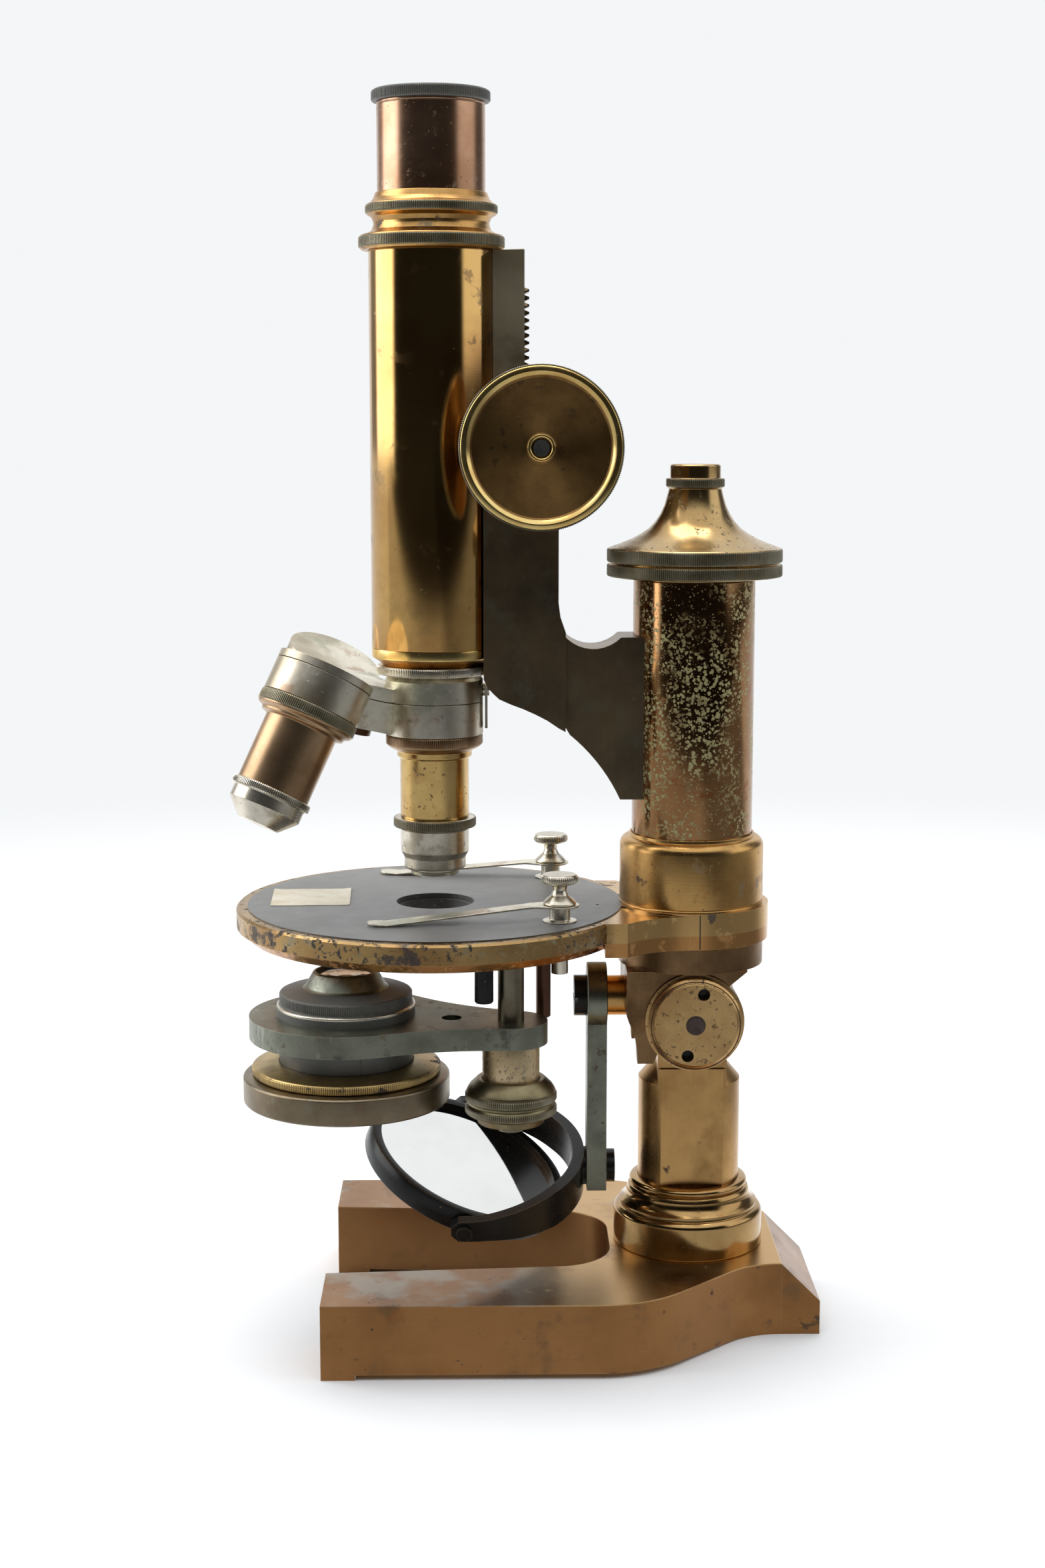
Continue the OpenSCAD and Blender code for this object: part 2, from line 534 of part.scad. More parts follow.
module iris_ring() color(BRASS) at_condenser() turned([[17.25, 76.1], [24, 76.1],
    [24.2, 76.4], [24.2, 77.9], [23.6, 78.3], [19, 79.2], [17.25, 79.2]]);
module condenser_ring() color(BROWN) at_condenser() turned([[15, 68.7], [26, 68.7],
    [26.5, 69.2], [26.5, 75.2], [26.1, 75.6], [24.6, 75.9], [15, 75.9]]);

// ---------------------------------------------------------------- mirror
bar_x = ax + 40.65;
bar_t = 5.3;
module at_fork() translate([bar_x - fork_reach, 0, mirror_z]) rotate([fork_angle, 0, 0]) children();
module mirror_bar() color(GREY) difference() {
    union() {
        translate([0, 0, 88]) rod_x(9, bar_x, bar_x + bar_t);
        translate([bar_x, -6, 35]) cube([bar_t, 12, 53]);
    }
    translate([0, 0, 88]) rod_x(2.55, bar_x - 1, bar_x + bar_t + 1);
    translate([0, 0, mirror_z]) rod_x(2.05, bar_x - 1, bar_x + bar_t + 1);
}
module mirror_screw_top() color(BLACK) translate([bar_x - 3.5, 0, 88]) difference() {
    rod_x(5.5, 0, 3.4);
    translate([-1, -6, -0.6]) cube([1.8, 12, 1.2]);
}
module mirror_screw_low() color(BLACK) translate([0, 0, mirror_z]) {
    rod_x(2, bar_x - 0.1, bar_x + bar_t + 0.2);
    rod_x(4.5, bar_x + bar_t + 0.2, bar_x + bar_t + 2.4);
}
module mirror_fork() color(BLACK) at_fork() difference() {
    union() {
        intersection() {
            tube(29.3, 32.4, -6, 6);
            union() {
                slab_y(-40, 40) polygon([[-3.4, -1.2], [-1.5, -2.9], [6, -3.1],
                    [24, -5.2], [34, -5.2], [34, 5.2], [24, 5.2], [6, 3.1], [-1.5, 2.9],
                    [-3.4, 1.2]]);
            }
        }
        intersection() {
            rod_x(5.2, 29.5, fork_reach - 0.1);
            difference() {
                translate([20, -10, -10]) cube([20, 20, 20]);
                rod(30.5, -20, 20);
            }
        }
    }
    rod_y(1.55, -40, 40);
}
module in_fork() at_fork() rotate([0, mirror_tilt, 0]) children();
module mirror_frame() color(BLACK) in_fork() {
    turned([[26, -1.2], [25.4, -1.2], [25.4, -2.9], [26.6, -3.2], [27.9, -3],
        [mirror_r, -2.6], [mirror_r, 2.6], [27.9, 3], [26.6, 3.2], [25.4, 2.9],
        [25.4, 1.2], [26, 1.2]]);
    for (s = [0, 180]) rotate([0, 0, s]) {
        rod_y(1.5, -33, -27.6);
        rod_y(2.1, -33.6, -32.7);
    }
}
module mirror_plane() color(GLASS) in_fork() turned([[0, 0.1], [25.4, 0.1],
    [25.4, 1.2], [0, 1.2]]);
module mirror_concave() color(GLASS) in_fork() turned(concat([[0, -0.1], [25.4, -0.1]],
    [for (i = [8:-1:0]) [25.4 * i / 8, -0.5 - 0.7 * pow(i / 8, 2)]]));

foot();
pillar();
pillar_flange();
joint_bracket();
hinge_bolt();
stage_frame();
stage_plate();
stage_label();
lower_sleeve();
fine_prism();
substage_post();
condenser_pin();
arm_stop_rod();
mirror_stub();
clip_near_post();
clip_near_blade();
clip_far_post();
clip_far_blade();
column_sleeve();
arm();
pinion_housing_near();
pinion_housing_far();
fine_head();
pinion_shaft();
coarse_knob_near();
coarse_knob_far();
main_tube();
tube_head();
tube_ring();
tube_slide();
rack();
union_ring();
nosepiece_cover();
detent_spring();
nosepiece_carrier();
nosepiece_bolt();
objective_a_barrel();
objective_a_front();
objective_b_barrel();
objective_b_front();
objective_c();
draw_tube();
eyepiece();
eye_lens();
field_lens();
substage_sleeve();
substage_nut();
substage_arm();
condenser_body();
condenser_lens();
iris_ring();
condenser_ring();
mirror_bar();
mirror_screw_top();
mirror_screw_low();
mirror_fork();
mirror_frame();
mirror_plane();
mirror_concave();
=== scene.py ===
"""Looks of an old brass compound microscope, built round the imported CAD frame.

Turned parts are rebuilt here with rounded edges and real knurl teeth; the other CAD
parts keep their meshes and get worn edges and materials. Lengths in the tables are mm.
"""

import json
import math
import random

import bmesh
import bpy
from mathutils import Matrix, Vector, noise

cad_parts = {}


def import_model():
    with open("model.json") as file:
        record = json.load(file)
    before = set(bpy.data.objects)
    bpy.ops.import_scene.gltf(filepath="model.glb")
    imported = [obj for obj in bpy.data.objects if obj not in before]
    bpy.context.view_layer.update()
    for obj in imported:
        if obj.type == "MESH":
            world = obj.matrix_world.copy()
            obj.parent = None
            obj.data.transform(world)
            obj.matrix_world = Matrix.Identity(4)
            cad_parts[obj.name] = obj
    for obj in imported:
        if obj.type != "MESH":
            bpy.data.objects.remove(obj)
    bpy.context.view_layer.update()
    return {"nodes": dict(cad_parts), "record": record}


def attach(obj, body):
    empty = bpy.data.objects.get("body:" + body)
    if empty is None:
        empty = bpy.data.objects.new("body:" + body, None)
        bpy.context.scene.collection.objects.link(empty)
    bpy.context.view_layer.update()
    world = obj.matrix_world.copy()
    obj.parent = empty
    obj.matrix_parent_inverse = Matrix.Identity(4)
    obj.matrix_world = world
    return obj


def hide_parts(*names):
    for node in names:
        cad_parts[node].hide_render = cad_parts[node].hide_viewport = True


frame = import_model()
NODES = frame["nodes"]
BODY = {n: b for b, ns in frame["record"]["behaviour"]["bodies"].items() for n in ns}
MM = 0.001
AX = -68.5  # optical axis, x in mm
PIVOT_Z = 237.3  # where the nosepiece pivot line meets the optical axis
NOSE_TILT = math.radians(16.25)
rng = random.Random(7)


# ---------------------------------------------------------------- placing
def at(x, y, z, rot=None):
    m = Matrix.Translation((x * MM, y * MM, z * MM))
    return m @ rot if rot else m


def turn(deg, axis):
    return Matrix.Rotation(math.radians(deg), 4, axis)


ON_AXIS = at(AX, 0, 0)


def cup(i):
    """Carries something drawn on the optical axis to nosepiece cup i."""
    pivot = Vector((-math.sin(NOSE_TILT), 0, -math.cos(NOSE_TILT)))
    spin = Matrix.Rotation(math.radians((0, 120, -120)[i]), 4, pivot)
    return at(AX, 0, PIVOT_Z) @ spin @ at(0, 0, -PIVOT_Z)


POST_OUT, POST_Y = 19.8, -38.1  # substage post, from the optical axis
SWING = math.radians(169.4)  # where the condenser arm points, as it stands
ARM_LENGTH = math.hypot(POST_OUT, POST_Y)
ON_POST = at(AX + POST_OUT, POST_Y, 0)
ON_CONDENSER = at(AX + POST_OUT + ARM_LENGTH * math.cos(SWING),
                  POST_Y + ARM_LENGTH * math.sin(SWING), 0)


# ---------------------------------------------------------------- materials
class Graph:
    """Small helper round one material's node tree."""

    def __init__(self, name):
        self.mat = bpy.data.materials.new(name)
        self.mat.use_nodes = True
        self.tree = self.mat.node_tree
        self.tree.nodes.clear()
        self.coord = self.add("ShaderNodeTexCoord").outputs["Object"]

    def add(self, kind, **props):
        n = self.tree.nodes.new(kind)
        for k, v in props.items():
            setattr(n, k, v)
        return n

    def put(self, socket, value):
        if isinstance(value, bpy.types.NodeSocket):
            self.tree.links.new(value, socket)
        else:
            socket.default_value = value

    def math(self, op, a, b=0.0, c=0.0, clamp=False):
        n = self.add("ShaderNodeMath", operation=op, use_clamp=clamp)
        for s, v in zip(n.inputs, (a, b, c)):
            self.put(s, v)
        return n.outputs[0]

    def vec(self, op, a, b=(0, 0, 0)):
        n = self.add("ShaderNodeVectorMath", operation=op)
        self.put(n.inputs[0], a)
        self.put(n.inputs[1], b)
        return n.outputs["Value" if op in ("LENGTH", "DOT_PRODUCT") else "Vector"]

    def xyz(self, v):
        n = self.add("ShaderNodeSeparateXYZ")
        self.put(n.inputs[0], v)
        return n.outputs

    def join(self, x, y, z):
        n = self.add("ShaderNodeCombineXYZ")
        for s, v in zip(n.inputs, (x, y, z)):
            self.put(s, v)
        return n.outputs[0]

    def step(self, v, lo, hi, to_lo=0.0, to_hi=1.0):
        n = self.add("ShaderNodeMapRange", interpolation_type="SMOOTHSTEP")
        for s, x in zip(n.inputs, (v, lo, hi, to_lo, to_hi)):
            self.put(s, x)
        return n.outputs[0]

    def noise(self, vector, scale, detail=4.0, rough=0.55, w=0.0):
        n = self.add("ShaderNodeTexNoise", noise_dimensions="4D")
        self.put(n.inputs["Vector"], vector)
        self.put(n.inputs["W"], w)
        n.inputs["Scale"].default_value = scale
        n.inputs["Detail"].default_value = detail
        n.inputs["Roughness"].default_value = rough
        return n.outputs["Fac"]

    def mix(self, fac, a, b):
        n = self.add("ShaderNodeMix", data_type="RGBA")
        self.put(n.inputs["Factor"], fac)
        self.put(n.inputs["A"], (*a, 1) if isinstance(a, tuple) else a)
        self.put(n.inputs["B"], (*b, 1) if isinstance(b, tuple) else b)
        return n.outputs["Result"]

    def blend(self, fac, a, b):
        n = self.add("ShaderNodeMix", data_type="FLOAT")
        for s, v in zip((n.inputs["Factor"], n.inputs["A"], n.inputs["B"]), (fac, a, b)):
            self.put(s, v)
        return n.outputs["Result"]


def grain_of(g, grain, seed):
    """Fine tool marks: turned round z, or brushed along one axis."""
    x, y, z = g.xyz(g.coord)
    if grain == "turned":
        radius = g.vec("LENGTH", g.join(x, y, 0.0))
        safe = g.math("MAXIMUM", radius, 1e-4)
        around = g.join(g.math("DIVIDE", x, safe), g.math("DIVIDE", y, safe),
                        g.math("MULTIPLY", z, 3200.0))
        return g.noise(around, 1.0, 3.0, 0.6, g.math("MULTIPLY", radius, 3200.0))
    rates = {"x": (60, 2600, 2600), "y": (2600, 60, 2600), "z": (2600, 2600, 60),
             "none": (700, 700, 700)}[grain]
    return g.noise(g.vec("MULTIPLY", g.coord, rates), 1.0, 3.0, 0.6, seed)


def metal(name, base, tone, grain="turned", rough=0.25, rough_var=0.12, marks=0.06,
          blotch=70.0, blotch_mix=(0.35, 0.7), layers=(), metallic=1.0, coat=0.0,
          tone_marks=0.25, gloss=0.5, dust=0.0, edge=None, fan=0.0):
    """Worn metal. base and tone are mixed by soft blotches and by the tool marks, then
    each layer lays stains, pits or flakes on top; a few layers lay painted shade, a painted
    highlight and a painted reflection instead. edge is (colour, share) of the rubbed corners, and
    fan spreads highlights across the turning marks."""
    g = Graph(name)
    seed = rng.uniform(0, 50)
    grain_fac = grain_of(g, grain, seed)
    soft = g.noise(g.coord, blotch, 5.0, 0.6, seed + 3)
    fac = g.step(soft, blotch_mix[0], blotch_mix[1])
    fac = g.math("ADD", fac, g.math("MULTIPLY", g.math("SUBTRACT", grain_fac, 0.5),
                                    tone_marks), clamp=True)
    colour = g.mix(fac, base, tone)
    smudge = g.noise(g.coord, blotch * 3.3, 4.0, 0.6, seed + 5)
    r = g.math("ADD", rough - rough_var / 2, g.math("MULTIPLY", smudge, rough_var))
    r = g.math("ADD", r, g.math("MULTIPLY", grain_fac, rough_var * 0.5))
    shine = metallic
    height = g.math("MULTIPLY", grain_fac, marks)
    for i, la in enumerate(layers):
        stretch = la.get("stretch")
        v = g.vec("MULTIPLY", g.coord, stretch) if stretch else g.coord
        w = seed + 11.3 * (i + 1)
        if la.get("kind") == "cells":
            n = g.add("ShaderNodeTexVoronoi", feature="F1", voronoi_dimensions="3D")
            wobble = g.add("ShaderNodeTexNoise")
            g.put(wobble.inputs["Vector"], v)
            wobble.inputs["Scale"].default_value = la["scale"] * 1.7
            moved = g.vec("ADD", v, g.vec("MULTIPLY", wobble.outputs["Color"],
                                          (0.8 / la["scale"],) * 3))
            g.put(n.inputs["Vector"], moved)
            n.inputs["Scale"].default_value = la["scale"]
            pick = g.add("ShaderNodeTexWhiteNoise", noise_dimensions="3D")
            g.put(pick.inputs["Vector"], n.outputs["Color"])
            size = g.step(pick.outputs["Value"], 1 - la.get("share", 0.5), 1.0, 0.0,
                          la.get("size", 0.4))
            mask = g.math("SUBTRACT", size, n.outputs["Distance"])
            mask = g.step(mask, 0.0, 0.08)
        else:
            mask = g.step(g.noise(v, la["scale"], la.get("detail", 5.0),
                                  la.get("fine", 0.62), w), la["lo"], la["hi"])
        if "patch" in la:
            scale, lo, hi = la["patch"]
            mask = g.math("MULTIPLY", mask, g.step(g.noise(g.coord, scale, 3.0, 0.55,
                                                           w + 2), lo, hi))
        for axis, a, b in la.get("where", ()):
            mask = g.math("MULTIPLY", mask, g.step(g.xyz(g.coord)["xyz".index(axis)],
                                                   a * MM, b * MM))
        mask = g.math("MULTIPLY", mask, la.get("amount", 1.0))
        colour = g.mix(mask, colour, la["color"])
        if "rough" in la:
            r = g.blend(mask, r, la["rough"])
        if "metal" in la:
            shine = g.blend(mask, shine, la["metal"])
        if "lift" in la:
            height = g.math("ADD", height, g.math("MULTIPLY", mask, la["lift"]))
    if edge:
        bevel = g.add("ShaderNodeBevel", samples=4)
        bevel.inputs["Radius"].default_value = 0.00025
        flat = g.vec("DOT_PRODUCT", bevel.outputs["Normal"],
                     g.add("ShaderNodeNewGeometry").outputs["Normal"])
        sharp = g.math("SUBTRACT", g.math("SUBTRACT", 1.0, flat),
                       g.math("MULTIPLY", g.step(smudge, 0.35, 0.62), 0.10))
        rub = g.step(sharp, 0.0, 0.06, 0.0, edge[1])
        colour = g.mix(rub, colour, edge[0])
        shine = g.blend(rub, shine, 1.0)
    bump = g.add("ShaderNodeBump")
    bump.inputs["Strength"].default_value = 1.0
    bump.inputs["Distance"].default_value = 0.0001
    g.put(bump.inputs["Height"], height)
    out = g.add("ShaderNodeOutputMaterial")
    p = g.add("ShaderNodeBsdfPrincipled")
    g.put(p.inputs["Base Color"], colour)
    g.put(p.inputs["Roughness"], r)
    g.put(p.inputs["Metallic"], shine)
    g.put(p.inputs["Normal"], bump.outputs["Normal"])
    p.inputs["Coat Weight"].default_value = coat
    p.inputs["Coat Roughness"].default_value = 0.12
    p.inputs["Specular IOR Level"].default_value = gloss
    p.inputs["Sheen Weight"].default_value = dust
    p.inputs["Sheen Roughness"].default_value = 0.45
    if fan:
        p.inputs["Anisotropic"].default_value = fan
        p.inputs["Anisotropic Rotation"].default_value = 0.25
        ring = g.add("ShaderNodeTangent", direction_type="RADIAL", axis="Z")
        g.put(p.inputs["Tangent"], ring.outputs[0])
    g.tree.links.new(p.outputs[0], out.inputs["Surface"])
    return g.mat


def glass(name, tint):
    g = Graph(name)
    dust = g.step(g.noise(g.coord, 900.0), 0.5, 0.8, 0.02, 0.25)
    p = g.add("ShaderNodeBsdfPrincipled")
    p.inputs["Base Color"].default_value = (*tint, 1)
    p.inputs["Transmission Weight"].default_value = 1.0
    p.inputs["IOR"].default_value = 1.52
    g.put(p.inputs["Roughness"], dust)
    out = g.add("ShaderNodeOutputMaterial")
    g.tree.links.new(p.outputs[0], out.inputs["Surface"])
    return g.mat


# metal tones, linear
DARK, SOOT = (0.10, 0.055, 0.02), (0.015, 0.013, 0.011)
PALE, SAGE = (0.62, 0.55, 0.33), (0.30, 0.32, 0.23)

PITS = dict(scale=900, lo=0.66, hi=0.72, color=SOOT, rough=0.7, metal=0.3, lift=-0.5)
FINE_PITS = dict(scale=1500, lo=0.68, hi=0.74, color=DARK, rough=0.6, metal=0.5, lift=-0.3)
SMOKE = dict(scale=45, lo=0.52, hi=0.72, color=DARK, rough=0.45, amount=0.6)
GREY_BLUE = dict(scale=120, lo=0.60, hi=0.70, color=(0.16, 0.17, 0.16), rough=0.5,
                 metal=0.7, amount=0.8)

STAIN = dict(scale=95, lo=0.60, hi=0.645, color=(0.045, 0.040, 0.042), rough=0.55,
             metal=0.6, amount=0.85)
RUST = dict(scale=170, lo=0.60, hi=0.68, color=(0.30, 0.10, 0.03), rough=0.4, amount=0.6)

MATS = {
    "tube": metal("tube_lacquer", (0.58, 0.36, 0.12), (0.42, 0.22, 0.07), rough=0.10,
                  rough_var=0.06, marks=0.015, tone_marks=0.08, blotch=40, coat=0.25,
                  layers=[FINE_PITS | dict(patch=(60, 0.50, 0.60)),
                          dict(scale=420, lo=0.63, hi=0.68, color=PALE, rough=0.4,
                               amount=0.5, patch=(45, 0.50, 0.64)),
                          dict(scale=150, lo=0.60, hi=0.66, color=(0.16, 0.10, 0.05),
                               rough=0.3, amount=0.6), SMOKE | dict(amount=0.4)]),
    "draw": metal("draw_copper", (0.52, 0.32, 0.21), (0.38, 0.20, 0.11), rough=0.22,
                  marks=0.03, blotch=55, coat=0.15,
                  layers=[dict(scale=420, lo=0.57, hi=0.64, color=(0.20, 0.18, 0.15),
                               rough=0.55, metal=0.5, patch=(90, 0.42, 0.60)),
                          dict(scale=150, lo=0.58, hi=0.70, color=(0.42, 0.36, 0.30),
                               rough=0.45, amount=0.6), PITS]),
    "column": metal("column_flecked", (0.38, 0.21, 0.09), (0.26, 0.125, 0.05), rough=0.10,
                    marks=0.02, blotch=38, coat=0.08, tone_marks=0.1,
                    layers=[dict(kind="cells", scale=1300, share=0.9, size=0.75,
                                 color=(0.46, 0.42, 0.21), rough=0.5, metal=0.7,
                                 lift=0.3, patch=(75, 0.44, 0.58)),
                            dict(kind="cells", scale=2100, share=0.35, size=0.5,
                                 color=(0.40, 0.36, 0.18), rough=0.5, metal=0.7),
                            RUST, FINE_PITS]),
    "satin": metal("satin_brass", (0.64, 0.385, 0.135), (0.43, 0.235, 0.08), rough=0.24,
                   marks=0.10, blotch=60,
                   layers=[GREY_BLUE | dict(amount=0.6), SMOKE | dict(amount=0.5), STAIN,
                           RUST | dict(amount=0.35), FINE_PITS, PITS]),
    "satin_z": metal("satin_brass_brushed", (0.56, 0.33, 0.125), (0.37, 0.205, 0.075),
                     grain="z", rough=0.25, marks=0.12, blotch=60,
                     layers=[SMOKE | dict(amount=0.45), STAIN | dict(lo=0.65, hi=0.70),
                             FINE_PITS]),
    "bracket": metal("bracket_brown", (0.27, 0.16, 0.075), (0.16, 0.09, 0.045), grain="z",
                     rough=0.28, marks=0.12, blotch=70,
                     layers=[SMOKE, RUST | dict(amount=0.3), PITS], edge=((0.5, 0.3, 0.12), 0.7)),
    "flange": metal("flange_polished", (0.47, 0.30, 0.12), (0.32, 0.185, 0.07), rough=0.12,
                    marks=0.03, blotch=60, coat=0.1,
                    layers=[SMOKE | dict(amount=0.5), STAIN | dict(lo=0.66, hi=0.70),
                            RUST | dict(amount=0.4), FINE_PITS, PITS]),
    "foot": metal("foot_brushed", (0.335, 0.165, 0.062), (0.225, 0.105, 0.038), grain="x",
                  rough=0.26, rough_var=0.10, marks=0.14, blotch=30,
                  layers=[dict(scale=70, lo=0.54, hi=0.68, color=(0.16, 0.10, 0.055),
                               rough=0.4, amount=0.6),
                          dict(scale=150, lo=0.62, hi=0.67, color=(0.06, 0.045, 0.035),
                               rough=0.6, metal=0.6, amount=0.85,
                               patch=(30, 0.46, 0.60)),
                          dict(scale=36, lo=0.50, hi=0.62, color=(0.42, 0.38, 0.32),
                               rough=0.42, amount=0.75, where=[("z", 19.3, 19.7)]),
                          dict(scale=300, lo=0.60, hi=0.66, color=(0.10, 0.08, 0.06),
                               rough=0.6, metal=0.4, amount=0.85, patch=(36, 0.46, 0.60),
                               where=[("z", 19.3, 19.7)]),
                          # painted highlight: a brighter orange patch on the foot's top between x
                          # -52 and -30 mm stands for the glossy top's reflection
                          dict(scale=24, lo=0.36, hi=0.5, color=(0.62, 0.39, 0.16),
                               rough=0.30, amount=0.85,
                               where=[("z", 19.3, 19.7), ("x", -52, -30)]),
                          # painted shade: an even darker band on the foot's wall between y 16 and
                          # 30 mm, below the top, on the far arm's inner wall in the recess
                          # between the arms
                          dict(scale=20, lo=0.0, hi=0.1, color=(0.17, 0.085, 0.035),
                               amount=0.6, where=[("y", 16, 20), ("y", 30, 27),
                                                  ("z", 19.6, 19.2)]),
                          PITS | dict(patch=(40, 0.48, 0.60)), RUST | dict(amount=0.3)],
                  edge=((0.52, 0.40, 0.25), 0.55)),
    "hinge": metal("hinge_speckled", (0.62, 0.41, 0.18), (0.46, 0.27, 0.11), rough=0.30,
                   marks=0.14, blotch=90,
                   layers=[dict(scale=800, lo=0.59, hi=0.64, color=(0.12, 0.075, 0.04),
                                rough=0.6, metal=0.5, amount=0.9),
                           dict(scale=230, lo=0.62, hi=0.68, color=(0.14, 0.085, 0.045),
                                rough=0.5, amount=0.6), PITS]),
    "stage": metal("stage_pitted", (0.44, 0.285, 0.12), (0.30, 0.175, 0.07), rough=0.24,
                   marks=0.08, grain="none", blotch=60,
                   layers=[dict(scale=240, lo=0.56, hi=0.64, color=(0.22, 0.20, 0.13),
                                rough=0.5, metal=0.6, amount=0.75),
                           dict(scale=620, lo=0.54, hi=0.59, color=(0.045, 0.038, 0.028),
                                rough=0.65, metal=0.4, lift=-0.4,
                                patch=(95, 0.40, 0.54), where=[("x", -21, -27)]),
                           RUST | dict(scale=70, amount=0.5),
                           dict(scale=20, lo=0.0, hi=0.1, color=(0.60, 0.375, 0.15),
                                rough=0.22, amount=0.9, where=[("x", -24, -21)]), STAIN,
                           # painted reflection: an even reddish band on the stage frame below z
                           # 108.4 mm stands for the brass below reflected in its lower edge
                           dict(scale=20, lo=0.0, hi=0.1, color=(0.42, 0.19, 0.06),
                                rough=0.16, amount=0.75, where=[("z", 108.9, 108.4)]),
                           FINE_PITS], edge=((0.55, 0.40, 0.18), 0.6)),
    "arm": metal("arm_patina", (0.25, 0.18, 0.105), (0.135, 0.105, 0.068), grain="z",
                 rough=0.30, marks=0.14, blotch=45, tone_marks=0.7,
                 layers=[dict(scale=110, lo=0.52, hi=0.70, color=(0.17, 0.17, 0.12),
                              rough=0.45, amount=0.6),
                         dict(scale=800, lo=0.66, hi=0.72, color=(0.36, 0.26, 0.13),
                              rough=0.4, amount=0.7), FINE_PITS],
                 edge=((0.42, 0.30, 0.14), 0.5)),
    "head": metal("head_pitted", (0.50, 0.35, 0.155), (0.36, 0.225, 0.09), rough=0.18,
                  marks=0.05, blotch=60, coat=0.1,
                  layers=[dict(scale=750, lo=0.575, hi=0.63, color=(0.10, 0.07, 0.04),
                               rough=0.6, metal=0.5, lift=-0.3,
                               patch=(85, 0.42, 0.56)), SMOKE | dict(amount=0.4)]),
    "knurl": metal("knurl_patina", (0.34, 0.31, 0.225), (0.20, 0.17, 0.105), rough=0.42,
                   marks=0.05, blotch=140,
                   layers=[dict(scale=160, lo=0.55, hi=0.7, color=(0.42, 0.30, 0.14),
                                rough=0.35, amount=0.6)]),
    "knob": metal("knob_turned", (0.43, 0.245, 0.085), (0.27, 0.145, 0.052), rough=0.34, fan=0.8,
                  marks=0.45, blotch=90, tone_marks=0.7,
                  layers=[SMOKE | dict(scale=90, amount=0.5),
                          dict(scale=300, lo=0.60, hi=0.66, color=(0.10, 0.075, 0.045),
                               rough=0.4, amount=0.6), FINE_PITS]),
    "bright": metal("bright_ring", (0.82, 0.62, 0.25), (0.62, 0.40, 0.13), rough=0.2,
                    marks=0.04, blotch=120, layers=[FINE_PITS]),
    "nickel": metal("old_nickel", (0.84, 0.79, 0.66), (0.64, 0.59, 0.47), rough=0.30, marks=0.08,
                    grain="none", blotch=90,
                    layers=[dict(scale=75, lo=0.48, hi=0.64, color=SAGE, rough=0.4,
                                 amount=0.65),
                            dict(scale=60, lo=0.30, hi=0.55, color=(0.36, 0.29, 0.19),
                                 rough=0.36, amount=0.7, where=[("x", -91, -96)]),
                            dict(scale=95, lo=0.56, hi=0.66, color=(0.42, 0.26, 0.17),
                                 rough=0.4, amount=0.7),
                            dict(scale=330, lo=0.62, hi=0.68, color=(0.13, 0.11, 0.08),
                                 rough=0.5, amount=0.6), FINE_PITS, PITS],
                    edge=((0.62, 0.52, 0.34), 0.5)),
    "nickel_turned": metal("nickel_turned", (0.74, 0.69, 0.58), (0.56, 0.51, 0.41), rough=0.24,
                           marks=0.14, blotch=90,
                           layers=[dict(scale=120, lo=0.54, hi=0.68,
                                        color=(0.33, 0.28, 0.20), rough=0.4,
                                        amount=0.6),
                                   dict(scale=420, lo=0.62, hi=0.68,
                                        color=(0.12, 0.10, 0.07), rough=0.5,
                                        amount=0.6), FINE_PITS]),
    "obj_gold": metal("objective_gold", (0.64, 0.44, 0.17), (0.46, 0.28, 0.095), rough=0.17,
                      marks=0.05, blotch=90,
                      layers=[dict(scale=850, lo=0.59, hi=0.65, color=(0.18, 0.115, 0.055),
                                   rough=0.6, metal=0.5, patch=(110, 0.40, 0.60)),
                              FINE_PITS]),
    "obj_brown": metal("objective_brown", (0.48, 0.32, 0.185), (0.32, 0.20, 0.11),
                       rough=0.30, marks=0.2, blotch=70,
                       layers=[SMOKE, dict(scale=200, lo=0.6, hi=0.72,
                                           color=(0.40, 0.36, 0.30), rough=0.45,
                                           amount=0.5), FINE_PITS]),
    "slide": metal("slide_grey", (0.60, 0.54, 0.39), (0.40, 0.345, 0.235), grain="z",
                   rough=0.46, marks=0.08, blotch=60, layers=[SMOKE]),
    "gunmetal": metal("gunmetal", (0.26, 0.27, 0.215), (0.16, 0.165, 0.13),
                      grain="none", rough=0.36, marks=0.05, blotch=70,
                      layers=[dict(scale=420, lo=0.59, hi=0.66, color=(0.11, 0.075, 0.045),
                                   rough=0.6, metal=0.5, amount=0.8),
                              dict(scale=260, lo=0.60, hi=0.66, color=(0.36, 0.36, 0.31),
                                   rough=0.35, amount=0.6, stretch=(1.0, 1.0, 0.25)),
                              dict(scale=90, lo=0.58, hi=0.66, color=(0.05, 0.05, 0.042),
                                   rough=0.5, amount=0.6)],
                      edge=((0.40, 0.37, 0.29), 0.8)),
    "post": metal("post_worn", (0.24, 0.21, 0.15), (0.15, 0.12, 0.08), grain="z",
                  rough=0.3, marks=0.08, blotch=90, layers=[SMOKE]),
    "brown_rod": metal("brown_rod", (0.10, 0.045, 0.025), (0.055, 0.028, 0.018),
                       rough=0.3, marks=0.05, blotch=90, metallic=0.8),
    "speckled": metal("speckled_pale", (0.70, 0.55, 0.33), (0.50, 0.37, 0.205), rough=0.36,
                      marks=0.10, blotch=120,
                      layers=[dict(scale=1100, lo=0.54, hi=0.60, color=(0.15, 0.12, 0.085),
                                   rough=0.7, metal=0.3, amount=0.8)]),
    "nut": metal("nut_olive", (0.26, 0.225, 0.13), (0.155, 0.125, 0.07), rough=0.32,
                 marks=0.10, blotch=120,
                 layers=[dict(scale=200, lo=0.58, hi=0.70, color=(0.36, 0.27, 0.14),
                              rough=0.3, amount=0.6), FINE_PITS]),
    "ring": metal("condenser_brown", (0.26, 0.21, 0.137), (0.165, 0.127, 0.085), rough=0.32,
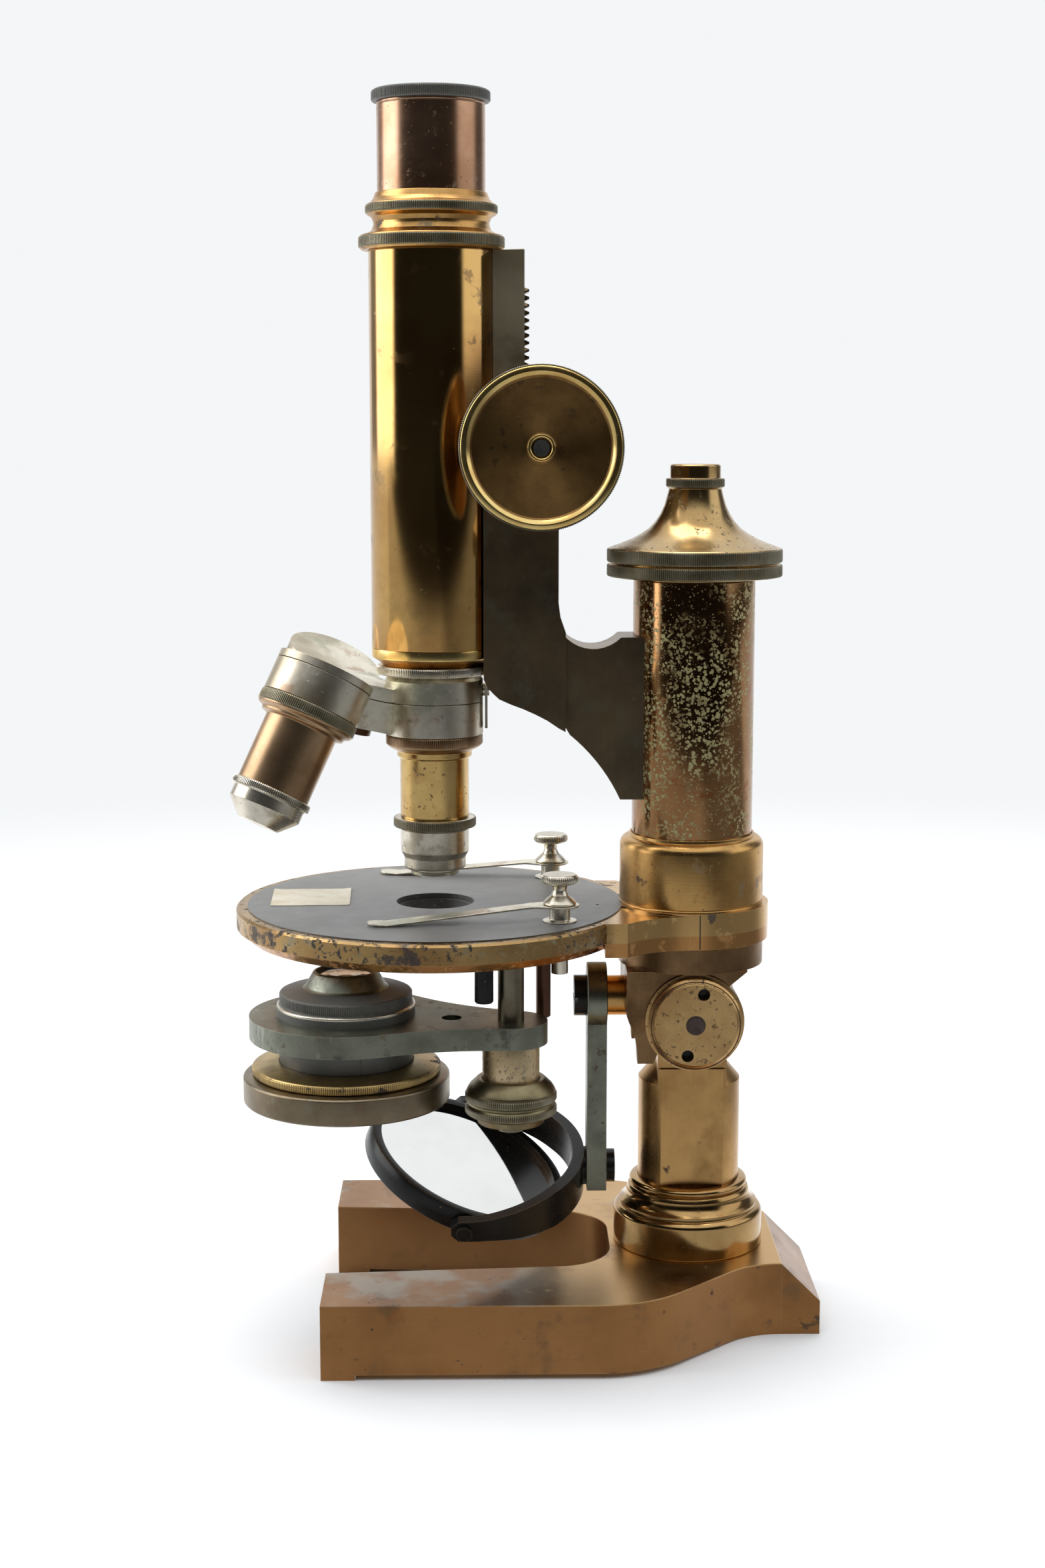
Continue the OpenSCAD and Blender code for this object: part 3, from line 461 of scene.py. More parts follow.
                  marks=0.10, blotch=60,
                  layers=[dict(scale=200, lo=0.56, hi=0.68, color=(0.26, 0.25, 0.19),
                               rough=0.45, amount=0.6),
                          dict(scale=110, lo=0.56, hi=0.66, color=(0.30, 0.14, 0.07),
                               rough=0.35, amount=0.5), PITS]),
    "iris": metal("iris_gold", (0.60, 0.43, 0.18), (0.38, 0.27, 0.125), rough=0.32,
                  marks=0.08, blotch=120, layers=[SMOKE, STAIN | dict(scale=160)]),
    "enamel": metal("black_enamel", (0.008, 0.008, 0.008), (0.014, 0.013, 0.012),
                    rough=0.24, marks=0.03, blotch=80, metallic=0.0, gloss=0.2,
                    layers=[dict(scale=500, lo=0.66, hi=0.72, color=(0.20, 0.14, 0.07),
                                 rough=0.5, metal=0.7)], edge=((0.36, 0.27, 0.15), 0.5)),
    "ebonite": metal("black_ebonite", (0.060, 0.062, 0.056), (0.088, 0.086, 0.075),
                     rough=0.40, marks=0.12, blotch=120, metallic=0.0, dust=0.2,
                     layers=[dict(scale=500, lo=0.62, hi=0.72, color=(0.13, 0.115, 0.09),
                                  rough=0.7, amount=0.6)], edge=((0.22, 0.20, 0.16), 0.6)),
    "plate": metal("stage_ebonite", (0.044, 0.042, 0.038), (0.072, 0.069, 0.062),
                   grain="none", rough=0.36, rough_var=0.2, marks=0.06, blotch=45,
                   metallic=0.0, gloss=1.0, dust=0.3,
                   layers=[dict(scale=1500, lo=0.62, hi=0.68, color=(0.34, 0.33, 0.29),
                                rough=0.8, amount=0.8, patch=(60, 0.40, 0.62)),
                           dict(scale=700, lo=0.66, hi=0.71, color=(0.42, 0.40, 0.35),
                                rough=0.8, amount=0.7),
                           dict(scale=130, lo=0.56, hi=0.72, color=(0.115, 0.11, 0.098),
                                rough=0.6, amount=0.6)]),
    "paper": metal("aged_paper", (0.73, 0.69, 0.59), (0.62, 0.55, 0.41), grain="none",
                   rough=0.85, marks=0.25, blotch=160, metallic=0.0, gloss=0.2,
                   layers=[dict(scale=260, lo=0.62, hi=0.74, color=(0.42, 0.30, 0.17),
                                rough=0.9, amount=0.5)]),
    "steel": metal("machined_steel", (0.46, 0.46, 0.44), (0.34, 0.34, 0.32), rough=0.25,
                   marks=0.08, blotch=100, layers=[FINE_PITS]),
    "silver": metal("silvered_glass", (0.90, 0.91, 0.90), (0.84, 0.85, 0.84),
                    grain="none", rough=0.03, rough_var=0.03, marks=0.0, blotch=60,
                    tone_marks=0.0,
                    layers=[dict(scale=900, lo=0.71, hi=0.76, color=(0.35, 0.33, 0.28),
                                 rough=0.5, amount=0.6)]),
    "pin": metal("dark_pin", (0.10, 0.072, 0.062), (0.055, 0.04, 0.036), rough=0.34,
                 marks=0.06, blotch=200, metallic=0.8, layers=[FINE_PITS]),
    "glass": glass("lens_glass", (0.90, 0.95, 0.95)),
}


# ---------------------------------------------------------------- mesh building
def rounded(profile, radius):
    """The closed profile with its corners replaced by small arcs."""
    out, n = [], len(profile)
    for i, p in enumerate(profile):
        a, b = profile[i - 1], profile[(i + 1) % n]
        u = Vector((a[0] - p[0], a[1] - p[1]))
        v = Vector((b[0] - p[0], b[1] - p[1]))
        if p[0] < 1e-6 or u.length < 1e-6 or v.length < 1e-6:
            out.append(p)
            continue
        bend = math.degrees(u.angle(-v))
        cut = min(radius, 0.35 * u.length, 0.35 * v.length)
        if bend < 18 or cut < 0.02:
            out.append(p)
            continue
        s, e, c = Vector(p) + u.normalized() * cut, Vector(p) + v.normalized() * cut, Vector(p)
        for t in (0.0, 0.33, 0.67, 1.0):
            out.append(tuple(s * (1 - t) ** 2 + c * 2 * t * (1 - t) + e * t * t))
    return out


def shell(bm, rings, mat=0, zones=()):
    """Joins rings of points into one closed surface; a ring may be a single point."""
    made = [[bm.verts.new(Vector(p) * MM) for p in r] for r in rings]
    for a, b in zip(made, made[1:] + made[:1]):
        n = max(len(a), len(b))
        if n == 1:
            continue
        for i in range(n):
            j = (i + 1) % n
            q = [a[i % len(a)], a[j % len(a)], b[j % len(b)], b[i % len(b)]]
            q = list(dict.fromkeys(q))
            if len(q) > 2:
                f = bm.faces.new(q)
                z = sum(v.co.z for v in q) / len(q) / MM
                f.material_index = next((m for lo, hi, m in zones if lo < z < hi), mat)


def circle(r, z, n):
    if r < 1e-6:
        return [(0, 0, z)]
    return [(r * math.cos(2 * math.pi * i / n), r * math.sin(2 * math.pi * i / n), z)
            for i in range(n)]


def knurl(bm, r, z0, z1, depth=0.2, pitch=0.55, mat=1, crown=0.0):
    """A band of milled teeth, closed into the body behind it; crown raises its middle, and no
    call sets it.
    """
    teeth = int(round(2 * math.pi * r / pitch))
    low, edge = r - depth, min(0.3, (z1 - z0) * 0.22)
    rows = [(z0, low - 1.2, 0), (z0, low, 0)]
    rows += [(z0 + edge, r, 1), ((z0 + z1) / 2, r + crown, 1), (z1 - edge, r, 1)]
    rows += [(z1, low, 0), (z1, low - 1.2, 0)]
    rings = []
    for z, rad, cut in rows:
        ring = []
        for k in range(teeth):
            for share, dip in ((0.0, depth * cut), (0.3, 0.0), (0.7, 0.0)):
                a = 2 * math.pi * (k + share) / teeth
                ring.append(((rad - dip) * math.cos(a), (rad - dip) * math.sin(a), z))
        rings.append(ring)
    shell(bm, rings, mat)


def finish_mesh(name, bm, mats, angle=32):
    bmesh.ops.remove_doubles(bm, verts=bm.verts, dist=1e-8)
    bmesh.ops.recalc_face_normals(bm, faces=bm.faces)
    me = bpy.data.meshes.new(name)
    bm.to_mesh(me)
    bm.free()
    for m in mats:
        me.materials.append(MATS[m])
    me.shade_smooth()
    me.set_sharp_from_angle(angle=math.radians(angle))
    o = bpy.data.objects.new(name, me)
    bpy.context.scene.collection.objects.link(o)
    return o


def settle(o, node, place, hides=True):
    """Places a new piece, lets it ride with its CAD node's body and stand for the node."""
    o.matrix_world = place
    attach(o, BODY[node])
    if hides:
        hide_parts(node)
    return o


def turned(name, node, profile, mats, place=ON_AXIS, knurls=(), zones=(), soft=0.22,
           segs=112, hides=True, pitch=0.55):
    bm = bmesh.new()
    shell(bm, [circle(r, z, segs) for r, z in rounded(profile, soft)], 0, zones)
    for k in knurls:
        knurl(bm, *k, pitch=pitch)
    return settle(finish_mesh(name, bm, mats), node, place, hides)


def spindle(profile):
    return [(0, profile[0][1])] + profile + [(0, profile[-1][1])]


def arc(cx, cz, r, a0, a1, n=8):
    return [(cx + r * math.cos(math.radians(a0 + (a1 - a0) * i / n)),
             cz + r * math.sin(math.radians(a0 + (a1 - a0) * i / n))) for i in range(n + 1)]


# ---------------------------------------------------------------- tube and eyepiece
turned("eyepiece_cap", "eyepiece", [
    (11.2, 276), (12.6, 276), (12.85, 276.3), (12.85, 321.2), (14.6, 321.2), (14.9, 321.5),
    (14.9, 323.75), (14.6, 324.1), (13.2, 324.2), (12.6, 323.9), (11.6, 323.8), (8.2, 323),
    (6.2, 322.6), (6.2, 321.2), (11.2, 321.2)], ["ebonite", "ebonite"],
    knurls=[(15.2, 321.3, 323.8)], zones=[(270, 321.1, 0)])
turned("draw_tube_barrel", "draw_tube", [
    (12.9, 230), (13.85, 230), (13.85, 320.2), (13.7, 320.4), (13.85, 320.6),
    (13.85, 321.1), (12.9, 321.1)], ["draw"])
turned("tube_head_rings", "tube_head", [
    (13.9, 284.3), (18, 284.3), (18.5, 284.9), (18.5, 287.5), (18.2, 288.1), (16.9, 288.3),
    (15.4, 289.2), (14.9, 290.6), (14.9, 291.3), (15.4, 292.5), (16.7, 293.3),
    (16.7, 295.5), (16.6, 295.8), (15.8, 296.1), (14.9, 297.2), (14.35, 298.7),
    (13.9, 298.7)], ["satin", "knurl"], knurls=[(18.8, 284.9, 287.7), (17, 293.5, 295.6)])
turned("main_tube_body", "main_tube", [
    (14.3, 182.4), (16.3, 182.4), (16.3, 284.3), (14.3, 284.3)], ["tube"], segs=144)
turned("tube_foot_ring", "tube_ring", [
    (11, 177.8), (13.4, 177.8), (14.4, 178.8), (15.6, 179.6), (16.25, 180), (16.25, 182.4),
    (11, 182.4)], ["satin", "bright"], zones=[(179.9, 183, 1)])
turned("union_ring_knurled", "union_ring", [
    (11, 175.4), (14.6, 175.4), (14.8, 175.7), (14.8, 177.5), (14.6, 177.8), (11, 177.8)],
    ["nickel_turned", "nickel_turned"], knurls=[(15.1, 175.5, 177.7)])

# ---------------------------------------------------------------- fine focus head
turned("fine_focus_head", "fine_head", spindle([
    (2.95, 183), (2.95, 200.1), (16, 200.1), (16, 200.8), (22.3, 200.8), (22.7, 201.2),
    (22.7, 203.8), (22.4, 204.15), (22, 204.35), (22.4, 204.6), (22.7, 204.9),
    (22.7, 207.9), (22.4, 208.3), (19.1, 209.5), (16.5, 210.6), (14.1, 211.9),
    (12.1, 213.3), (10.5, 215), (9.1, 217.1), (8.1, 219.3), (7.4, 221.6), (6.9, 223.7),
    (7.35, 224.1), (7.35, 226.3), (6.6, 226.4), (6.6, 229.6), (6.2, 230)]),
    ["head", "knurl"], place=at(0, 0, 0),
    knurls=[(23, 201.0, 204.0), (23, 204.7, 208.1), (7.65, 224.1, 226.3)])

# ---------------------------------------------------------------- coarse focus knobs
KNOB_X, KNOB_Y, KNOB_Z = AX + 27.5, -27.5, 234.6  # near knob's inner face
KNOB = [(2, 0), (9, 0), (9.4, 0.6), (19.6, 1), (20.2, 1.7), (20.2, 6.7), (19.9, 7.3),
        (18.7, 7.5), (17.7, 6.7), (17.3, 6.2), (12, 6.28), (3.6, 6.36), (3.4, 6.9),
        (2.9, 7.0), (2.5, 6.7), (2.5, 6.0), (2, 6.0)]
for side, spin in (("near", 0), ("far", 180)):
    place = at(KNOB_X, 0, KNOB_Z) @ turn(spin, "Z") @ at(0, KNOB_Y, 0) @ turn(90, "X")
    turned(f"coarse_knob_{side}_wheel", f"coarse_knob_{side}", KNOB, ["knob", "knurl", "bright"],
           place=place, knurls=[(20.5, 1.3, 7.0)], zones=[(6.75, 7.6, 2)], segs=160)

# ---------------------------------------------------------------- column and pillar
turned("column_tube", "column_sleeve", [
    (10.05, 124), (16, 124), (16, 200), (3, 200), (3, 197), (10.05, 197)], ["column"],
    place=at(0, 0, 0), segs=144)
turned("lower_sleeve_turned", "lower_sleeve", [
    (10, 104.5), (19.15, 104.5), (19.15, 114.6), (18.95, 114.8), (19.15, 115),
    (19.15, 129.2)] + arc(16.6, 129.6, 2.5, 0, 90) + [(16.6, 133), (16.05, 133),
    (16.05, 121), (10, 121)], ["satin"], place=at(0, 0, 0), segs=144)
turned("pillar_flange_turned", "pillar_flange", [
    (13.7, 19.8), (20, 19.8), (20.2, 20.1), (20.2, 28.4)] + arc(18.3, 28.4, 1.9, 0, 80)
    + [(18.5, 31.2)] + arc(20.2, 34.6, 3.6, 245, 178, 6) + [(16.2, 35.6), (15.8, 35.8)]
    + arc(14.9, 36.9, 1.1, -60, 80, 6) + [(13.7, 38.2)], ["flange"], place=at(0, 0, 0),
    segs=144)

# ---------------------------------------------------------------- objectives
turned("objective_a_body", "objective_a_barrel", [
    (7.6, 166.2), (7.6, 137.2), (9.1, 137.2), (9.1, 153.2), (9.9, 153.5), (9.9, 155),
    (11.6, 155.9), (12.4, 156.4), (12.5, 156.8), (12.5, 159.2), (12.2, 159.5),
    (10.1, 159.5), (10.1, 165.6), (9.7, 166.2)], ["obj_gold", "obj_brown"],
    knurls=[(12.8, 156.7, 159.3)], zones=[(155.2, 160, 1)])
turned("objective_a_nose", "objective_a_front", [
    (0, 121.8), (6.4, 121.8), (6.4, 122.9), (7.9, 123.4), (8.2, 123.9), (8.2, 126.5),
    (9.1, 128), (9.1, 134), (9.6, 134.4), (10.7, 134.7), (10.7, 137), (10.3, 137.2),
    (7.6, 137.2), (7.6, 150), (0, 150)], ["nickel_turned", "knurl"],
    knurls=[(10.97, 134.7, 137.05)])
turned("objective_b_body", "objective_b_barrel", [
    (7.6, 166.2), (7.6, 136.1), (9.6, 136.1), (9.6, 153.9), (11.2, 154.4), (11.4, 155.2),
    (12.8, 155.9), (12.95, 156.5), (12.95, 159.2), (12.6, 159.5), (10.1, 159.5),
    (10.1, 165.6), (9.7, 166.2)], ["obj_brown", "knurl"], place=cup(1),
    knurls=[(13.2, 156.4, 159.3)])
turned("objective_b_nose", "objective_b_front", [
    (0, 126.9), (3.2, 126.6), (5.5, 126.7), (9.6, 130.9), (9.6, 134), (10.2, 134.2),
    (10.3, 134.6), (10.3, 135.7), (10.0, 136.1), (7.6, 136.1), (7.6, 148), (0, 148)],
    ["nickel_turned", "nickel_turned"], place=cup(1), knurls=[(10.6, 134.15, 136.05)])
turned("objective_c_body", "objective_c", [
    (0, 140.1), (6, 139.9), (7.6, 140.2), (8.7, 140.9), (8.7, 142.3), (8.4, 142.5),
    (8.7, 142.7), (8.7, 144.4), (8.4, 144.6), (8.7, 144.8), (8.7, 146.4), (8.2, 146.7),
    (8.2, 153.9), (11.2, 154.6), (12.5, 155.9), (12.65, 156.5), (12.65, 159.2),
    (12.3, 159.5), (10.1, 159.5), (10.1, 166), (0, 166)], ["obj_brown", "knurl"],
    place=cup(2), knurls=[(12.9, 156.4, 159.3), (8.9, 141, 142.3), (8.9, 142.75, 144.4),
                          (8.9, 144.85, 146.3)])

# ---------------------------------------------------------------- clips
CLIP = spindle([(2.2, 100.4), (2.2, 114.15), (4.4, 114.15), (4.4, 114.4), (2.7, 114.55),
                (2.7, 118.6), (4.2, 118.6), (4.3, 119), (3.6, 119.8), (2.2, 121),
                (1.7, 122.2), (2, 123.4), (4.3, 124.2), (4.55, 124.5), (4.55, 126),
                (4.2, 126.4)])
for side, x, y in (("near", 32.5, -26), ("far", 31.8, 32.8)):
    turned(f"clip_{side}_screw", f"clip_{side}_post", CLIP, ["nickel_turned"] * 2,
           place=at(AX + x, y, 0), knurls=[(4.75, 124.4, 126.05)], segs=64)

# ---------------------------------------------------------------- substage
turned("substage_sleeve_turned", "substage_sleeve", [
    (3.4, 73.6), (7.3, 73.6), (7.3, 85.5), (3.4, 85.5)], ["speckled"], place=ON_POST)
turned("substage_nut_knurled", "substage_nut", [
    (3.4, 63.8), (4.8, 63.8), (5, 64.4), (8.4, 64.6), (9, 66.4), (11, 67), (11.4, 67.4),
    (11.4, 69), (10.9, 69.6), (10.9, 70.3), (11.4, 70.8), (11.4, 72), (11.3, 73.2),
    (10.6, 74.4), (9.6, 75.4), (8.6, 76.3), (7.4, 76.3), (7.4, 73.5), (3.4, 73.5)],
    ["nut", "knurl"], place=ON_POST, knurls=[(11.7, 67.35, 69.2), (11.7, 70.7, 72.6)])
turned("condenser_mount", "condenser_body", [
    (13, 75.9), (17.2, 75.9), (17.2, 84.5), (17.7, 84.9), (17.7, 93.3), (17.7, 93.9),
    (17.2, 94.1), (16.7, 94.4), (16.7, 96.9), (16.4, 97.2), (11, 98.1), (10.3, 98.7),
    (8.3, 102.2), (7.6, 102.5), (7.4, 101.4), (9, 95), (10.5, 78)],
    ["ebonite", "ebonite", "nickel_turned", "gunmetal"], place=ON_CONDENSER,
    knurls=[(17, 94.5, 97.0)], zones=[(93.0, 94.1, 2), (98.2, 103, 3)])
turned("iris_ring_knurled", "iris_ring", [
    (17.25, 76.1), (23.7, 76.1), (23.9, 76.4), (23.9, 77.9), (23.5, 78.3), (19, 79.2),
    (17.25, 79.2)], ["iris", "iris"], place=ON_CONDENSER, knurls=[(24.2, 76.2, 78.0)],
    segs=144)
turned("condenser_ring_turned", "condenser_ring", [
    (15, 68.7), (26, 68.7), (26.5, 69.2), (26.5, 75.2), (26.1, 75.6), (24.6, 75.9),
    (15, 75.9)], ["ring"], place=ON_CONDENSER, segs=144)

# ---------------------------------------------------------------- CAD parts kept
KEPT = {
    "foot": ("foot", 0.45), "pillar": ("satin_z", 0.3), "joint_bracket": ("bracket", 0.3),
    "hinge_bolt": ("hinge", 0.25), "stage_frame": ("stage", 0.3),
    "stage_plate": ("plate", 0.15), "fine_prism": ("steel", 0.1),
    "substage_post": ("post", 0.15), "condenser_pin": ("enamel", 0.1),
    "arm_stop_rod": ("brown_rod", 0.1), "mirror_stub": ("satin", 0.2),
    "clip_near_blade": ("nickel", 0.1), "clip_far_blade": ("nickel", 0.1),
    "arm": ("arm", 0.35), "pinion_housing_near": ("arm", 0.2),
    "pinion_housing_far": ("arm", 0.2), "pinion_shaft": ("steel", 0.05),
    "tube_slide": ("slide", 0.2), "rack": ("arm", 0.05),
    "nosepiece_cover": ("nickel", 0.25), "detent_spring": ("nickel", 0.1),
    "nosepiece_carrier": ("nickel", 0.25), "nosepiece_bolt": ("brown_rod", 0.2),
    "eye_lens": ("glass", 0), "field_lens": ("glass", 0), "condenser_lens": ("glass", 0),
    "substage_arm": ("gunmetal", 0.35), "mirror_bar": ("gunmetal", 0.3),
    "mirror_screw_top": ("enamel", 0.2), "mirror_screw_low": ("enamel", 0.2),
    "mirror_fork": ("enamel", 0.25), "mirror_frame": ("enamel", 0.15),
    "mirror_plane": ("silver", 0), "mirror_concave": ("silver", 0),
}
for node, (mat, width) in KEPT.items():
    o = NODES[node]
    me = o.data
    me.materials.clear()
    me.materials.append(MATS[mat])
    if not width:
        continue
    me.attributes.remove(me.attributes["custom_normal"])
    weld = o.modifiers.new("weld", "WELD")
    weld.merge_threshold = 1e-6
    bevel = o.modifiers.new("worn_edges", "BEVEL")
    bevel.width = width * MM
    bevel.segments = 2
    bevel.limit_method = "ANGLE"
    bevel.angle_limit = math.radians(28)
    bevel.harden_normals = True
    me.shade_smooth()


# ---------------------------------------------------------------- paper label
def label():
    """A small blank label with round corners, its edges lifting a little."""
    bm = bmesh.new()
    nx, ny = 24, 24
    lx, ly = 10.5, 10.9  # half lengths
    plate_top, thick = 114.11, 0.09
    grids = []
    for top in (0.0, thick):
        grid = []
        for j in range(ny + 1):
            for i in range(nx + 1):
                u, v = 2 * i / nx - 1, 2 * j / ny - 1
                x, y = u * lx, v * ly
                corner = max(0.0, abs(u) - 0.9) / 0.1 * max(0.0, abs(v) - 0.9) / 0.1
                x, y = x * (1 - 0.015 * corner), y * (1 - 0.03 * corner)
                curl = 0.25 * max(0.0, abs(u) - 0.8) / 0.2 * (0.5 + 0.5 * v) \
                    + 0.04 * (1 + noise.noise((x * 0.5, y * 0.5, 3.0)))
                grid.append(bm.verts.new(Vector((x, y, plate_top + top + curl)) * MM))
        grids.append(grid)
    w = nx + 1
    for g_ in grids:
        for j in range(ny):
            for i in range(nx):
                k = j * w + i
                bm.faces.new((g_[k], g_[k + 1], g_[k + w + 1], g_[k + w]))
    rim = [i for i in range(w)] + [j * w + nx for j in range(1, ny + 1)] \
        + [ny * w + i for i in range(nx - 1, -1, -1)] + [j * w for j in range(ny - 1, 0, -1)]
    a, b = grids
    for p, q in zip(rim, rim[1:] + rim[:1]):
        bm.faces.new((a[p], a[q], b[q], b[p]))
    return finish_mesh("stage_paper_label", bm, ["paper"])


settle(label(), "stage_label", at(AX - 33.5, 4.9, 0, turn(2, "Z")))


# ---------------------------------------------------------------- small screws
def screw(name, node, r, height, place, mat="steel"):
    """A domed screw head standing on local z = 0."""
    turned(name, node, [(0, -0.8), (r, -0.8), (r, height * 0.45), (r * 0.8, height * 0.85),
                        (r * 0.45, height), (0, height * 1.05)], [mat], place=place,
           hides=False, segs=48, soft=0.08)


def strip(name, node, radius, angle, z0, z1, width, place, mat="enamel"):
    """A narrow dark joint line standing just proud of a turned surface."""
    bm = bmesh.new()
    half = math.degrees(width / radius / 2)
    inner, outer = radius - 0.3, radius + 0.015
    ends = []
    for z in (z0, z1):
        end = []
        for r, sides in ((inner, (-1, 0, 1)), (outer, (1, 0, -1))):
            for side in sides:
                a = math.radians(angle + half * side)
                end.append(Vector((r * math.cos(a), r * math.sin(a), z)) * MM)
        ends.append(end)
    low, high = [[bm.verts.new(p) for p in end] for end in ends]
    bm.faces.new(low[::-1])
    bm.faces.new(high)
    for i in range(len(low)):
        j = (i + 1) % len(low)
        bm.faces.new((low[i], low[j], high[j], high[i]))
    settle(finish_mesh(name, bm, [mat]), node, place, hides=False)


strip("clamp_split", "stage_frame", 20.65, -88, 105.1, 114.2, 0.35, at(0, 0, 0))
strip("condenser_seam", "condenser_body", 17.2, -75, 79.4, 84.2, 0.25, ON_CONDENSER)

HINGE_Z, CAP_FACE, HOLE_FACE = 84.5, 19.5, 16.926  # faces: distance from the mid plane
HOLES_R, HOLES_AT = 8.5, math.radians(76)
for side, tip, way in (("near", 90, -1), ("far", -90, 1)):
    y = CAP_FACE * way
    screw(f"hinge_pin_{side}", "hinge_bolt", 2.6, 0.14, at(0, y, HINGE_Z, turn(tip, "X")),
          "pin")
    turned(f"hinge_groove_{side}", "hinge_bolt",
           [(11.55, -0.1), (11.85, -0.1), (11.85, 0.03), (11.55, 0.03)], ["brown_rod"],
           place=at(0, y, HINGE_Z, turn(tip, "X")), hides=False, soft=0.02)
    # painted shade: the holes are flat black discs standing just proud of the face, for the dark
    # inside of the holes
    for k in (-1, 1):
        x, z = HOLES_R * math.cos(HOLES_AT) * k, HOLES_R * math.sin(HOLES_AT) * k
        turned(f"hinge_hole_{side}_{'low' if k < 0 else 'high'}", "hinge_bolt",
               [(0, -0.3), (1.57, -0.3), (1.57, 0.05), (0, 0.05)], ["enamel"],
               place=at(x, HOLE_FACE * way, HINGE_Z + z, turn(tip, "X")), hides=False, segs=32,
               soft=0.03)


# ---------------------------------------------------------------- floor, light, camera
PAPER = (0.905, 0.922, 0.938)


def floor():
    """Pale paper: lit near the object, even further off, and dim in reflections of its
    front and right side, where the studio is dark."""
    me = bpy.data.meshes.new("studio_floor")
    half = 12.0
    corners = [(-half, -half, 0), (half, -half, 0), (half, half, 0), (-half, half, 0)]
    me.from_pydata(corners, [], [(0, 1, 2, 3)])
    o = bpy.data.objects.new("studio_floor", me)
    bpy.context.scene.collection.objects.link(o)
    g = Graph("studio_paper")
    far = g.step(g.vec("LENGTH", g.coord), 0.35, 0.95)
    grain = g.noise(g.coord, 60.0, 2.0)
    tone = g.mix(grain, (0.84, 0.855, 0.87), (0.87, 0.885, 0.90))
    lit = g.add("ShaderNodeBsdfDiffuse")
    g.put(lit.inputs["Color"], tone)
    even = g.add("ShaderNodeEmission")
    even.inputs["Color"].default_value = (*PAPER, 1)
    both = g.add("ShaderNodeMixShader")
    g.put(both.inputs[0], far)
    g.tree.links.new(lit.outputs[0], both.inputs[1])
    g.tree.links.new(even.outputs[0], both.inputs[2])
    x, y, _ = g.xyz(g.coord)
    right = g.step(x, 0.05, 0.28)
    front = g.math("MULTIPLY", g.step(y, -0.95, -0.50, 0.02, 0.66),
                   g.math("SUBTRACT", 1.0, g.math("MULTIPLY", right, 0.6)))
    mirrored = g.add("ShaderNodeEmission")
    mirrored.inputs["Color"].default_value = (*PAPER, 1)
    g.put(mirrored.inputs["Strength"], front)
    side = g.math("MULTIPLY", right, g.math("SUBTRACT", 1.0, g.step(y, 0.15, 0.45)))
    where = g.math("MAXIMUM", g.math("SUBTRACT", 1.0, g.step(y, -0.10, 0.06)), side)
    dim = g.math("MULTIPLY", g.add("ShaderNodeLightPath").outputs["Is Glossy Ray"], where)
    shown = g.add("ShaderNodeMixShader")
    g.put(shown.inputs[0], dim)
    g.tree.links.new(both.outputs[0], shown.inputs[1])
    g.tree.links.new(mirrored.outputs[0], shown.inputs[2])
    out = g.add("ShaderNodeOutputMaterial")
    g.tree.links.new(shown.outputs[0], out.inputs["Surface"])
    me.materials.append(g.mat)


